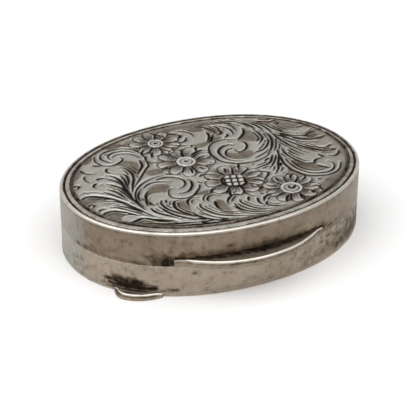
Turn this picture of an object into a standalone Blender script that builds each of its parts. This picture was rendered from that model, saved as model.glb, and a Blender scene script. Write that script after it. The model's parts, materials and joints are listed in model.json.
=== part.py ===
"""Oval silver pill box with two compartments.

A deep engraved lid is hinged at the back of an oval body, and a thin flat lid under the body closes a
shallow second compartment. Each lid has a crescent thumbpiece and a five-knuckle hinge with its own pin.
The oval's long axis lies along X, the front with the large thumbpiece faces -Y, and the origin is the
middle of the face that the box stands on.
"""

import math

import bmesh
import bpy
from mathutils import Matrix, Vector

MM = 0.001

# The oval that every wall follows
HALF_LENGTH = 25.0 * MM
HALF_WIDTH = 18.7 * MM
OVAL_POWER = 2.08  # 2 is a true ellipse, and a little more is fuller at the diagonals
OVAL_STEPS = 80

# Heights, from the underside of the base plate
BASE_PLATE = 0.70 * MM
SEAM = 5.35 * MM
HEIGHT = 11.0 * MM
FLOOR_BOTTOM = 3.5 * MM
FLOOR_TOP = 3.9 * MM
BEZEL_RISE = 1.6 * MM  # how far the bezel stands up into the lid
BASE_RIM_RISE = 1.2 * MM

# Sheet thicknesses
LID_WALL = 0.80 * MM
BODY_WALL = 0.80 * MM
LID_PLATE = 0.80 * MM
BEZEL_WALL = 0.50 * MM
BASE_RIM_WALL = 0.45 * MM

# Gaps
SOLDER = 0.05 * MM  # between pieces soldered to each other
SEAM_GAP = 0.10 * MM  # between a closed lid and the body
SLIDE = 0.12 * MM  # between a rim and the wall it slips into

# Edges
LID_EDGE_ROUND = 0.40 * MM
BASE_EDGE_ROUND = 0.25 * MM
SMALL_CHAMFER = 0.12 * MM
ROUND_STEPS = 3

# Thumbpieces: "start", "peak" and "end" are turns round the oval, in degrees from +X, and "sweep" is how
# far on each side of its peak the crescent takes to come back to the wall
LID_THUMB = {"start": -124.5, "peak": -94.0, "end": -66.5, "sweep": (27.0, 26.0), "power": 2.0,
             "proud": 2.40 * MM, "blunt": 0.28 * MM, "thick": 1.25 * MM}
BASE_THUMB = {"start": -150.3, "peak": -143.0, "end": -128.9, "sweep": (7.3, 15.0), "power": 2.2,
              "proud": 2.00 * MM, "blunt": 0.25 * MM, "thick": 0.62 * MM}
THUMB_STEPS = 24

# Hinges: stand_off is how far the pin's axis lies outside the wall
LID_HINGE = {"bearing": 90.0, "height": SEAM, "radius": 0.90 * MM, "stand_off": 0.45 * MM,
             "knuckle": 2.0 * MM, "bore": 0.42 * MM}
BASE_HINGE = {"bearing": 40.0, "height": BASE_PLATE + SEAM_GAP, "radius": 0.75 * MM,
              "stand_off": 0.40 * MM, "knuckle": 1.2 * MM, "bore": 0.34 * MM}
KNUCKLES = 5
KNUCKLE_GAP = 0.06 * MM
GROOVE_GAP = 0.06 * MM
PIN_PLAY = 0.05 * MM
PIN_END = 0.10 * MM
HINGE_SIDES = 20
FULL_TURN = 2 * math.pi


def silver(name, colour, roughness):
    """A metal material in a worn silver tone."""
    material = bpy.data.materials.get(name) or bpy.data.materials.new(name)
    material.use_nodes = True
    shader = material.node_tree.nodes["Principled BSDF"]
    shader.inputs["Base Color"].default_value = (*colour, 1.0)
    shader.inputs["Metallic"].default_value = 1.0
    shader.inputs["Roughness"].default_value = roughness
    material.diffuse_color = (*colour, 1.0)
    return material


def finishes():
    """The finishes that the pieces share, by name."""
    return {
        "wall": silver("wall_silver", (0.50, 0.46, 0.41), 0.36),
        "engraved": silver("engraved_silver", (0.50, 0.50, 0.48), 0.40),
        "thumb": silver("thumb_silver", (0.66, 0.62, 0.56), 0.25),
        "inside": silver("inside_silver", (0.70, 0.68, 0.64), 0.30),
        "hinge": silver("hinge_silver", (0.48, 0.45, 0.41), 0.34),
        "pin": silver("pin_silver", (0.60, 0.58, 0.55), 0.28),
    }


def oval_point(turn, inset=0.0):
    """The point of the oval at this turn, in radians, on an outline that lies inset inside the outer one."""
    power = 2 / OVAL_POWER
    along, across = math.cos(turn), math.sin(turn)
    x = math.copysign(abs(along) ** power, along) * (HALF_LENGTH - inset)
    y = math.copysign(abs(across) ** power, across) * (HALF_WIDTH - inset)
    return Vector((x, y, 0.0))


def oval_normal(turn):
    """The outward direction of the wall at this turn."""
    point = oval_point(turn)
    steep = OVAL_POWER - 1
    x = math.copysign(abs(point.x / HALF_LENGTH) ** steep, point.x) / HALF_LENGTH
    y = math.copysign(abs(point.y / HALF_WIDTH) ** steep, point.y) / HALF_WIDTH
    return Vector((x, y, 0.0)).normalized()


def corner(inset, height, radius, start, end):
    """Points of a rounded edge, as (inset, height), about its centre. 180 degrees faces outwards, 90 up."""
    points = []
    for step in range(ROUND_STEPS + 1):
        angle = math.radians(start + (end - start) * step / ROUND_STEPS)
        points.append((inset + radius * math.cos(angle), height + radius * math.sin(angle)))
    return points


def new_object(name, mesh, material):
    """Puts a finished mesh in the scene as one named piece."""
    mesh.materials.append(material)
    mesh.shade_smooth()
    mesh.set_sharp_from_angle(angle=math.radians(32))
    piece = bpy.data.objects.new(name, mesh)
    bpy.context.scene.collection.objects.link(piece)
    return piece


def mesh_from(name, build):
    """A mesh whose faces point out, from a function that fills a bmesh."""
    bm = bmesh.new()
    build(bm)
    bmesh.ops.recalc_face_normals(bm, faces=bm.faces)
    mesh = bpy.data.meshes.new(name)
    bm.to_mesh(mesh)
    bm.free()
    return mesh


def oval_loops(bm, profile):
    """One loop of vertices round the oval for each (inset, height) of the profile."""
    loops = []
    for inset, height in profile:
        loop = []
        for step in range(OVAL_STEPS):
            point = oval_point(FULL_TURN * step / OVAL_STEPS, inset)
            loop.append(bm.verts.new((point.x, point.y, height)))
        loops.append(loop)
    return loops


def join_loops(bm, first, second):
    """A band of quads between two closed loops."""
    count = len(first)
    for i in range(count):
        j = (i + 1) % count
        bm.faces.new((first[i], first[j], second[j], second[i]))


def oval_ring(name, profile, material):
    """A wall round the oval: the closed profile of (inset, height) points, swept round it."""

    def build(bm):
        loops = oval_loops(bm, profile)
        for loop, following in zip(loops, loops[1:] + loops[:1]):
            join_loops(bm, loop, following)

    return new_object(name, mesh_from(name, build), material)


def oval_plate(name, profile, material):
    """A solid oval plate: the profile is its edge, from the underside to the top."""

    def build(bm):
        loops = oval_loops(bm, profile)
        for loop, following in zip(loops, loops[1:]):
            join_loops(bm, loop, following)
        bm.faces.new(loops[0])
        bm.faces.new(loops[-1])

    return new_object(name, mesh_from(name, build), material)


def crescent(spec, bearing):
    """How proud of the wall a thumbpiece stands at this bearing."""
    sweep = spec["sweep"][0] if bearing < spec["peak"] else spec["sweep"][1]
    share = abs(bearing - spec["peak"]) / sweep
    return max(spec["blunt"], spec["proud"] * (1 - share ** spec["power"]))


def thumbpiece(name, spec, bottom, material):
    """A crescent ledge whose hollow side follows the wall and whose outer edge is a shallow arc."""

    def build(bm):
        rows = []
        for step in range(THUMB_STEPS + 1):
            bearing = spec["start"] + (spec["end"] - spec["start"]) * step / THUMB_STEPS
            proud = crescent(spec, bearing)
            turn = math.radians(bearing)
            normal = oval_normal(turn)
            inner = oval_point(turn) + normal * SOLDER
            outer = oval_point(turn) + normal * (SOLDER + proud)
            chamfered = outer - normal * min(SMALL_CHAMFER, proud / 3)
            top = bottom + spec["thick"]
            section = [(inner, bottom), (outer, bottom), (outer, top - SMALL_CHAMFER),
                       (chamfered, top), (inner, top)]
            rows.append([bm.verts.new((p.x, p.y, z)) for p, z in section])
        for row, following in zip(rows, rows[1:]):
            join_loops(bm, row, following)
        bm.faces.new(rows[0])
        bm.faces.new(rows[-1])

    return new_object(name, mesh_from(name, build), material)


def hinge_frame(spec):
    """The matrix that carries a hinge's own frame to its place: X along the pin, Y away from the wall."""
    turn = math.radians(spec["bearing"])
    outward = oval_normal(turn)
    along = outward.cross(Vector((0, 0, 1)))
    place = oval_point(turn) + outward * spec["stand_off"]
    frame = Matrix((along, outward, Vector((0, 0, 1)))).transposed().to_4x4()
    frame.translation = (place.x, place.y, spec["height"])
    return frame


def circle(radius, sides=HINGE_SIDES):
    """The (y, z) points of a circle in a hinge's frame."""
    turns = [FULL_TURN * i / sides for i in range(sides)]
    return [(radius * math.cos(turn), radius * math.sin(turn)) for turn in turns]


def footed_circle(radius, sides=HINGE_SIDES):
    """A circle whose lower quarter towards the wall is filled out square, as a foot that meets the plate."""
    points = []
    for i, (y, z) in enumerate(circle(radius, sides)):
        if sides / 2 < i < 3 * sides / 4:
            scale = radius / max(abs(y), abs(z))
            y, z = y * scale, z * scale
        points.append((y, z))
    return points


def knuckle(name, spec, index, footed, material):
    """One tube of a hinge barrel, with its bore along the pin."""
    pitch = spec["knuckle"] + KNUCKLE_GAP
    middle = (index - (KNUCKLES - 1) / 2) * pitch
    outline = footed_circle(spec["radius"]) if footed else circle(spec["radius"])

    def build(bm):
        loops = []
        for x, points in (
            (-spec["knuckle"] / 2, outline),
            (spec["knuckle"] / 2, outline),
            (spec["knuckle"] / 2, circle(spec["bore"])),
            (-spec["knuckle"] / 2, circle(spec["bore"])),
        ):
            loops.append([bm.verts.new((x, y, z)) for y, z in points])
        for loop, following in zip(loops, loops[1:] + loops[:1]):
            join_loops(bm, loop, following)

    piece = new_object(name, mesh_from(name, build), material)
    piece.matrix_world = hinge_frame(spec) @ Matrix.Translation((middle, 0, 0))
    return piece


def barrel_length(spec):
    """The length of a hinge's whole barrel."""
    return KNUCKLES * spec["knuckle"] + (KNUCKLES - 1) * KNUCKLE_GAP


def hinge_pin(name, spec, material):
    """The wire through a barrel, with its ends rounded over just outside the outer knuckles."""
    radius = spec["bore"] - PIN_PLAY
    half = barrel_length(spec) / 2

    def build(bm):
        ends = ((-half - PIN_END, 0.6), (-half, 1.0), (half, 1.0), (half + PIN_END, 0.6))
        loops = []
        for x, share in ends:
            loops.append([bm.verts.new((x, y, z)) for y, z in circle(radius * share)])
        for loop, following in zip(loops, loops[1:]):
            join_loops(bm, loop, following)
        bm.faces.new(loops[0])
        bm.faces.new(loops[-1])

    piece = new_object(name, mesh_from(name, build), material)
    piece.matrix_world = hinge_frame(spec)
    return piece


def hide_cutter(cutter):
    """Marks a helper that only cuts other pieces."""
    cutter.hide_render = True
    cutter.display_type = "WIRE"
    return cutter


def groove_cutter(name, spec, material):
    """The round groove that a barrel lies in."""
    half = barrel_length(spec) / 2 + KNUCKLE_GAP

    def build(bm):
        radius = spec["radius"] + GROOVE_GAP
        loops = []
        for x in (-half, half):
            loops.append([bm.verts.new((x, y, z)) for y, z in circle(radius)])
        join_loops(bm, *loops)
        bm.faces.new(loops[0])
        bm.faces.new(loops[1])

    cutter = new_object(name, mesh_from(name, build), material)
    cutter.matrix_world = hinge_frame(spec)
    return hide_cutter(cutter)


def notch_cutter(name, spec, material):
    """The straight notch in a flat lid's edge that leaves room for its barrel."""
    half = barrel_length(spec) / 2 + KNUCKLE_GAP
    depth = spec["radius"] + SOLDER
    reach = 3 * spec["radius"]

    def build(bm):
        bmesh.ops.create_cube(bm, size=1.0)
        size = Matrix.Diagonal((2 * half, depth + reach, 2 * reach, 1.0))
        bm.transform(Matrix.Translation((0, (reach - depth) / 2, 0)) @ size)

    cutter = new_object(name, mesh_from(name, build), material)
    cutter.matrix_world = hinge_frame(spec)
    return hide_cutter(cutter)


def cut(piece, cutter):
    """Cuts a helper's shape out of a piece."""
    modifier = piece.modifiers.new("cut_" + cutter.name, "BOOLEAN")
    modifier.operation = "DIFFERENCE"
    modifier.solver = "EXACT"
    modifier.object = cutter


def build_lid(finish, groove):
    """The engraved lid: a band, the plate let into it, and the thumbpiece on its lower edge."""
    bottom = SEAM + SEAM_GAP / 2
    edge = corner(LID_EDGE_ROUND, HEIGHT - LID_EDGE_ROUND, LID_EDGE_ROUND, 180, 90)
    band = oval_ring(
        "lid_band",
        [(SMALL_CHAMFER / 2, bottom), (0, bottom + SMALL_CHAMFER / 2), *edge,
         (LID_WALL, HEIGHT), (LID_WALL, bottom)],
        finish["wall"],
    )
    cut(band, groove)
    inset = LID_WALL + SOLDER
    oval_plate(
        "lid_plate",
        [(inset, HEIGHT - LID_PLATE), (inset, HEIGHT - SMALL_CHAMFER), (inset + SMALL_CHAMFER, HEIGHT)],
        finish["engraved"],
    )
    thumbpiece("lid_thumbpiece", LID_THUMB, bottom, finish["thumb"])


def build_body(finish, lid_groove, base_groove):
    """The body: its outer band, the floor between the compartments, and the bezel that the lid slips over."""
    bottom = BASE_PLATE + SEAM_GAP
    top = SEAM - SEAM_GAP / 2
    chamfer = SMALL_CHAMFER / 2
    band = oval_ring(
        "body_band",
        [(chamfer, bottom), (0, bottom + chamfer), (0, top - chamfer), (chamfer, top),
         (BODY_WALL, top), (BODY_WALL, bottom)],
        finish["wall"],
    )
    cut(band, lid_groove)
    cut(band, base_groove)
    inset = BODY_WALL + SOLDER
    oval_plate("body_floor", [(inset, FLOOR_BOTTOM), (inset, FLOOR_TOP)], finish["inside"])
    crest = SEAM + BEZEL_RISE
    oval_ring(
        "body_bezel",
        [(inset, FLOOR_TOP + SOLDER), (inset, crest - SMALL_CHAMFER), (inset + SMALL_CHAMFER, crest),
         (inset + BEZEL_WALL, crest), (inset + BEZEL_WALL, FLOOR_TOP + SOLDER)],
        finish["inside"],
    )


def build_base_lid(finish, notch):
    """The flat lid under the body: a plate, the low rim that grips inside the body, and a thumbpiece."""
    edge = corner(BASE_EDGE_ROUND, BASE_EDGE_ROUND, BASE_EDGE_ROUND, 270, 180)
    plate = oval_plate("base_plate", [*edge, (0, BASE_PLATE)], finish["wall"])
    cut(plate, notch)
    inset = BODY_WALL + SLIDE
    bottom = BASE_PLATE + SOLDER
    top = bottom + BASE_RIM_RISE
    oval_ring(
        "base_rim",
        [(inset, bottom), (inset, top - SMALL_CHAMFER), (inset + SMALL_CHAMFER, top),
         (inset + BASE_RIM_WALL, top), (inset + BASE_RIM_WALL, bottom)],
        finish["inside"],
    )
    thumbpiece("base_thumbpiece", BASE_THUMB, 0.0, finish["thumb"])


def build_hinge(prefix, spec, lid_footed, finish):
    """Five knuckles, the first, third and fifth on the body, and their pin."""
    fixed = ("left", "centre", "right")
    moving = ("left", "right")
    for index in range(KNUCKLES):
        if index % 2 == 0:
            name = f"{prefix}_hinge_body_knuckle_{fixed[index // 2]}"
            knuckle(name, spec, index, False, finish["hinge"])
        else:
            name = f"{prefix}_hinge_lid_knuckle_{moving[index // 2]}"
            knuckle(name, spec, index, lid_footed, finish["hinge"])
    hinge_pin(f"{prefix}_hinge_pin", spec, finish["pin"])


def clear_scene():
    """Removes everything that the file opened with."""
    for piece in list(bpy.data.objects):
        bpy.data.objects.remove(piece)


def main():
    clear_scene()
    finish = finishes()
    lid_groove = groove_cutter("lid_hinge_groove", LID_HINGE, finish["hinge"])
    base_groove = groove_cutter("base_hinge_groove", BASE_HINGE, finish["hinge"])
    base_notch = notch_cutter("base_hinge_notch", BASE_HINGE, finish["hinge"])
    build_lid(finish, lid_groove)
    build_body(finish, lid_groove, base_groove)
    build_base_lid(finish, base_notch)
    build_hinge("lid", LID_HINGE, False, finish)
    build_hinge("base", BASE_HINGE, True, finish)


main()
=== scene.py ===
"""Looks of the oval pill box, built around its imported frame.

The engraved lid plate, the walls, the thumbpieces, the hinges and the two compartments are rebuilt here as
fine meshes in worn silver. Lengths are in millimetres until a mesh is made, and metres after that.
"""

import json
import math

import bpy
import numpy as np
from mathutils import Matrix, Vector


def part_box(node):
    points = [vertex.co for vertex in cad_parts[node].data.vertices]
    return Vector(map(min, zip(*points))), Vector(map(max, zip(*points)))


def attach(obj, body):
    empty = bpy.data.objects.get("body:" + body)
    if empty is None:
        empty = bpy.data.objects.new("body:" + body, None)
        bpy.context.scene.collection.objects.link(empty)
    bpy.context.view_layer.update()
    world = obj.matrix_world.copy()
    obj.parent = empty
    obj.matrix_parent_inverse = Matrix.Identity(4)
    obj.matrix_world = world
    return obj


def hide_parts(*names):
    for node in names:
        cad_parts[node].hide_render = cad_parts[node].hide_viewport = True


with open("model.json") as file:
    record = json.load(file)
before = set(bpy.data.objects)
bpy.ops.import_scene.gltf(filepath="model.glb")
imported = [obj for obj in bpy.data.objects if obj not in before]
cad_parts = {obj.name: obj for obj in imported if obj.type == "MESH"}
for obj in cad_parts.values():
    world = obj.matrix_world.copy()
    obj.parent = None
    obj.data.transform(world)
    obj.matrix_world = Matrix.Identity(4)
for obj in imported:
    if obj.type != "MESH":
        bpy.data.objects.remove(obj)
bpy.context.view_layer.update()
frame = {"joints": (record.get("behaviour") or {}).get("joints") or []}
MM = 0.001
FULL_TURN = 2 * math.pi


# ---------------------------------------------------------------- sizes, read from the frame

def span(node):
    """The lowest and highest corners of a CAD node, in millimetres."""
    low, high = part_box(node)
    return np.array(low) / MM, np.array(high) / MM


LID_LOW, LID_HIGH = span("lid_band")
BODY_LOW, BODY_HIGH = span("body_band")
PLATE_LOW, PLATE_HIGH = span("lid_plate")
BEZEL_LOW, BEZEL_HIGH = span("body_bezel")
FLOOR_LOW, FLOOR_HIGH = span("body_floor")
BASE_LOW, BASE_HIGH = span("base_plate")
RIM_LOW, RIM_HIGH = span("base_rim")
LID_THUMB_LOW, LID_THUMB_HIGH = span("lid_thumbpiece")
BASE_THUMB_LOW, BASE_THUMB_HIGH = span("base_thumbpiece")

HALF_LENGTH = LID_HIGH[0]
HALF_WIDTH = -LID_LOW[1]
OVAL_POWER = 2.08
HEIGHT = LID_HIGH[2]
SEAM = (LID_LOW[2] + BODY_HIGH[2]) / 2

SOLDER_GAP = 0.05  # between a wall and the plate or ring that stands inside it
PLATE_INSET = HALF_LENGTH - PLATE_HIGH[0]
LID_WALL = PLATE_INSET - SOLDER_GAP
BEZEL_INSET = HALF_LENGTH - BEZEL_HIGH[0]
BODY_WALL = BEZEL_INSET - SOLDER_GAP
BEZEL_WALL = 0.50
RIM_INSET = HALF_LENGTH - RIM_HIGH[0]
RIM_WALL = 0.45
LINING_INSET = LID_WALL + 0.02
LINING_THICK = 0.12

SEAM_LINE = 0.015  # half of the hairline that shows where two walls meet
RIM_ROUND = 0.40  # the lid's upper edge
LID_INNER_ROUND = 0.28  # the lid wall's inner edges
BASE_ROUND = 0.25
EDGE_ROUND = 0.07
BODY_TOP_ROUND = 0.09
FINE_EDGE = 0.025  # where the base lid meets the box, which barely shows
FLOOR_ROUND = 0.10
DENT = 0.045  # how deep the walls' unevenness goes
AROUND = 512  # steps round an oval


# ---------------------------------------------------------------- the oval

def oval(turns, inset=0.0):
    """Points of the oval at these turns, as an array of (x, y)."""
    along, across = np.cos(turns), np.sin(turns)
    power = 2 / OVAL_POWER
    inset = np.broadcast_to(inset, np.shape(along))
    x = np.sign(along) * np.abs(along) ** power * (HALF_LENGTH - inset)
    y = np.sign(across) * np.abs(across) ** power * (HALF_WIDTH - inset)
    return np.stack([x, y], -1)


def oval_normals(turns):
    """Outward directions of the oval's wall at these turns."""
    steep = OVAL_POWER - 1
    points = oval(turns)
    half = np.array([HALF_LENGTH, HALF_WIDTH])
    normals = np.sign(points) * np.abs(points / half) ** steep / half
    return normals / np.linalg.norm(normals, axis=-1, keepdims=True)


def inside_oval(x, y, inset):
    """Below 1 inside the oval drawn at this inset, 1 on it, above 1 outside."""
    along, across = np.abs(x) / (HALF_LENGTH - inset), np.abs(y) / (HALF_WIDTH - inset)
    return along ** OVAL_POWER + across ** OVAL_POWER


TURNS = np.arange(AROUND) * FULL_TURN / AROUND


# ---------------------------------------------------------------- meshes

def make_piece(name, points, faces, material, body, nodes, marks, sharp):
    """One visible piece, from points in millimetres and faces as lists of corners.

    marks are values for the material to read, either one at each point or one for all of them. Edges are
    sharp past an angle of so many degrees.
    """
    mesh = bpy.data.meshes.new(name)
    mesh.from_pydata((points * MM).tolist(), [], faces)
    for mark, values in marks.items():
        attribute = mesh.attributes.new(mark, "FLOAT", "POINT")
        attribute.data.foreach_set("value", np.broadcast_to(values, len(points)).astype(np.float32))
    mesh.materials.append(material)
    mesh.shade_smooth()
    mesh.set_sharp_from_angle(angle=math.radians(sharp))
    piece = bpy.data.objects.new(name, mesh)
    bpy.context.scene.collection.objects.link(piece)
    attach(piece, body)
    if nodes:
        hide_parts(*nodes)


def strip_faces(rows, columns, wrap_rows, wrap_columns):
    """Quads over a grid of points that is numbered row by row."""
    row = np.arange(rows if wrap_rows else rows - 1)
    column = np.arange(columns if wrap_columns else columns - 1)
    i, j = np.meshgrid(row, column, indexing="ij")
    following_i, following_j = (i + 1) % rows, (j + 1) % columns
    corners = (i * columns + j, i * columns + following_j,
               following_i * columns + following_j, following_i * columns + j)
    return np.stack([c.ravel() for c in corners], -1).tolist()


def round_corner(inset, height, radius, start, end, steps):
    """Profile points of a rounded edge, as (inset, height), about its centre. 180 degrees faces outwards."""
    angles = np.radians(np.linspace(start, end, steps + 1))
    return [(inset + radius * math.cos(a), height + radius * math.sin(a)) for a in angles]


def straight(start, end, steps):
    """Profile points between two places, without the places themselves."""
    shares = np.arange(1, steps) / steps
    return [(start[0] + (end[0] - start[0]) * s, start[1] + (end[1] - start[1]) * s) for s in shares]


def wall_points(profile):
    """A closed profile swept round the oval, with its faces."""
    rows = [np.column_stack([oval(TURNS, inset), np.full(AROUND, height)]) for inset, height in profile]
    return np.concatenate(rows), strip_faces(len(profile), AROUND, True, True)


def swept_solid(rows, flipped=False):
    """A solid through closed outlines, each a row of points, with its two ends capped."""
    count = len(rows[0])
    points = np.array(rows).reshape(-1, 3)
    faces = strip_faces(len(rows), count, False, True)
    faces += [list(range(count))[::-1], list(range(len(points) - count, len(points)))]
    return points, [face[::-1] for face in faces] if flipped else faces


def bearings(points):
    """The turn of each point round the oval, in degrees from +X, from -180 to 180."""
    x, y = points[:, 0] / HALF_LENGTH, points[:, 1] / HALF_WIDTH
    steep = OVAL_POWER / 2
    return np.degrees(np.arctan2(np.sign(y) * np.abs(y) ** steep, np.sign(x) * np.abs(x) ** steep))


def inset_of(points):
    """How far in from the lid's edge each point is, near enough, in millimetres."""
    scale = inside_oval(points[:, 0], points[:, 1], 0) ** (1 / OVAL_POWER)
    from_middle = np.hypot(points[:, 0], points[:, 1])
    square_on = np.sum(oval_normals(np.radians(bearings(points))) * points[:, :2], -1)
    square_on = np.abs(square_on / np.maximum(from_middle, 0.01))
    return (1 - scale) * from_middle / np.maximum(scale, 0.01) * square_on


def ripple(points, size, seed):
    """A smooth unevenness from 0 to 1, with waves of about this size in millimetres."""
    random = np.random.default_rng(seed)
    total = np.zeros(len(points))
    for _ in range(7):
        direction = random.normal(size=3)
        direction /= np.linalg.norm(direction)
        wave = size * random.uniform(0.6, 1.7)
        total += np.sin(points @ direction * FULL_TURN / wave + random.uniform(0, FULL_TURN))
    return 0.5 + 0.5 * np.clip(total / 4, -1, 1)


def dent_inwards(points, inset_by):
    """Moves wall points towards the middle by this much, and never outwards."""
    normals = oval_normals(np.radians(bearings(points)))
    points[:, :2] -= normals * inset_by[:, None]


def dent_outside(points, wave, seed):
    """Makes a wall's outside uneven, in waves of this length in millimetres."""
    off_outside = np.abs(inside_oval(points[:, 0], points[:, 1], 0) - 1)
    dent_inwards(points, DENT * np.clip(1 - 2 * off_outside / 0.03, 0, 1) * ripple(points, wave, seed))


def rim_dirt(points, inset, wave, seed):
    """Dirt gathered along a plate's edge, which lies at this inset, from 0 to 1."""
    rim = inside_oval(points[:, 0], points[:, 1], inset)
    return np.clip((rim - 0.90) / 0.09, 0, 1) * ripple(points, wave, seed)


# ---------------------------------------------------------------- node helpers

def shader_tree(name):
    """A new material, with its nodes, links and Principled shader."""
    material = bpy.data.materials.new(name)
    material.use_nodes = True
    tree = material.node_tree
    return material, tree, tree.nodes["Principled BSDF"]


def object_place(tree):
    """Where a point lies in the object's own coordinates, in metres."""
    return tree.nodes.new("ShaderNodeTexCoord").outputs["Object"]


def noise(tree, scale, detail, roughness, distortion=0.0, stretch=None):
    """A noise texture in the object's own coordinates, in waves per metre."""
    source = object_place(tree)
    if stretch:
        mapping = tree.nodes.new("ShaderNodeMapping")
        mapping.inputs["Scale"].default_value = stretch
        tree.links.new(source, mapping.inputs["Vector"])
        source = mapping.outputs["Vector"]
    node = tree.nodes.new("ShaderNodeTexNoise")
    node.inputs["Scale"].default_value = scale
    node.inputs["Detail"].default_value = detail
    node.inputs["Roughness"].default_value = roughness
    node.inputs["Distortion"].default_value = distortion
    tree.links.new(source, node.inputs["Vector"])
    return node.outputs["Fac"]


def reading(tree, name):
    """A mark stored at the mesh's points."""
    node = tree.nodes.new("ShaderNodeAttribute")
    node.attribute_name = name
    return node.outputs["Fac"]


def along_x(tree):
    """Where a point lies along the oval's long axis, in metres."""
    split = tree.nodes.new("ShaderNodeSeparateXYZ")
    tree.links.new(object_place(tree), split.inputs["Vector"])
    return split.outputs["X"]


def fit(tree, value, low, high, to_low=0.0, to_high=1.0):
    """Spreads a value from one range to another, and clamps it."""
    node = tree.nodes.new("ShaderNodeMapRange")
    node.inputs["From Min"].default_value = low
    node.inputs["From Max"].default_value = high
    node.inputs["To Min"].default_value = to_low
    node.inputs["To Max"].default_value = to_high
    tree.links.new(value, node.inputs["Value"])
    return node.outputs["Result"]


def maths(tree, operation, first, second):
    """One sum on two values, each a socket or a number."""
    node = tree.nodes.new("ShaderNodeMath")
    node.operation = operation
    for socket, value in zip(node.inputs, (first, second)):
        if isinstance(value, bpy.types.NodeSocket):
            tree.links.new(value, socket)
        else:
            socket.default_value = value
    return node.outputs["Value"]


def total(tree, *terms):
    """The sum of several terms, each a socket, a number, or a pair of such to be multiplied."""
    parts = [maths(tree, "MULTIPLY", *term) if isinstance(term, tuple) else term for term in terms]
    result = parts[0]
    for part in parts[1:]:
        result = maths(tree, "ADD", result, part)
    return result


def blend_colours(tree, share, first, second, strength=1.0):
    """Mixes two colours, each a socket or a colour, by a share that is first weakened to this strength."""
    if strength != 1.0:
        share = maths(tree, "MULTIPLY", share, strength)
    node = tree.nodes.new("ShaderNodeMix")
    node.data_type = "RGBA"
    tree.links.new(share, node.inputs[0])
    for socket, value in ((node.inputs[6], first), (node.inputs[7], second)):
        if isinstance(value, bpy.types.NodeSocket):
            tree.links.new(value, socket)
        else:
            socket.default_value = (*value, 1.0)
    return node.outputs[2]


def add_bump(tree, shader, height, distance, strength):
    """Fine relief in the shading, distance being its depth in metres."""
    node = tree.nodes.new("ShaderNodeBump")
    node.inputs["Distance"].default_value = distance
    node.inputs["Strength"].default_value = strength
    tree.links.new(height, node.inputs["Height"])
    tree.links.new(node.outputs["Normal"], shader.inputs["Normal"])


# ---------------------------------------------------------------- materials

DARK_STAIN = (0.020, 0.014, 0.009)
BROWN_STAIN = (0.120, 0.085, 0.055)
# Rubbed bright silver, laid on marked edges as a painted highlight too.
RUBBED_HIGHLIGHT_SILVER = (0.92, 0.87, 0.78)
COOL_SILVER = (0.35, 0.36, 0.315)  # the walls are greyer towards the oval's two ends
COOL_FROM, COOL_TO = 0.0240, 0.0250  # metres along X, over which they turn so

PLATE_BRIGHT, PLATE_DULL = (0.665, 0.655, 0.582), (0.455, 0.445, 0.380)
GROUND_LIGHT, GROUND_DARK = (0.172, 0.120, 0.068), (0.080, 0.054, 0.030)
PLATE_GRIME_AND_SHADE = (0.118, 0.080, 0.046)
BURR_HIGHLIGHT_SILVER = (1.0, 0.99, 0.94)
CUT_BLACK = (0.012, 0.010, 0.008)


def scratches(tree, across, along):
    """Fine scratches that run along X, from 0 to 1."""
    return fit(tree, noise(tree, 1.0, 2, 0.6, 0.3, (along, across, across)), 0.42, 0.62)


def worn_silver(name, bright, dull, roughness, mottle=420, patch=90, scratch=0.35, pits=0.5, ends=0.0):
    """Silver gone dull in patches, with scratches, small pits, dark stains and painted shade where the mesh is
    so marked, and edges rubbed bright and given a painted highlight.

    mottle and patch are the scales of its specks and of its dull patches, in waves per metre; scratch and pits
    are the depths of those, and ends is how grey it turns at the oval's two ends.
    """
    material, tree, shader = shader_tree(name)
    shader.inputs["Metallic"].default_value = 1.0
    cloud = fit(tree, noise(tree, 1.0, 5, 0.6, 0.6, (patch, patch, 2.6 * patch)), 0.30, 0.70)
    speck = fit(tree, noise(tree, mottle, 6, 0.65, 0.2), 0.34, 0.66)
    brushed = fit(tree, noise(tree, 1.0, 2, 0.5, 0.0, (3200, 3200, 260)), 0.34, 0.66)
    wear = total(tree, (cloud, 0.48), (speck, 0.32), (brushed, 0.12))
    colour = blend_colours(tree, wear, bright, dull)
    if ends:
        from_middle = maths(tree, "ABSOLUTE", along_x(tree), 0.0)
        near_end = fit(tree, from_middle, COOL_FROM, COOL_TO, 0.0, ends)
        colour = blend_colours(tree, near_end, colour, COOL_SILVER)
    # Where marked edge, rubbed bright and given a painted highlight.
    edge = reading(tree, "edge")
    colour = blend_colours(tree, edge, colour, RUBBED_HIGHLIGHT_SILVER, 0.88)
    # Dark stains, and painted shade where the mesh is so marked.
    ragged = total(tree, reading(tree, "stain_and_shade"), (maths(tree, "SUBTRACT", speck, 0.5), 0.5))
    stain_and_shade = fit(tree, ragged, 0.10, 0.95)
    colour = blend_colours(tree, fit(tree, ragged, 0.08, 0.55, 0.0, 0.8), colour, BROWN_STAIN)
    colour = blend_colours(tree, fit(tree, ragged, 0.45, 1.0), colour, DARK_STAIN)
    tree.links.new(colour, shader.inputs["Base Color"])
    lines = scratches(tree, 5200, 500)
    rough = total(tree, (wear, 0.16), (lines, 0.10), (stain_and_shade, 0.22), roughness, (edge, -0.12))
    tree.links.new(rough, shader.inputs["Roughness"])
    holes = fit(tree, noise(tree, 1500, 2, 0.5), 0.70, 0.78)
    add_bump(tree, shader, total(tree, (speck, 0.5), (holes, -pits), (lines, -scratch)), 0.00002, 0.6)
    return material


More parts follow.
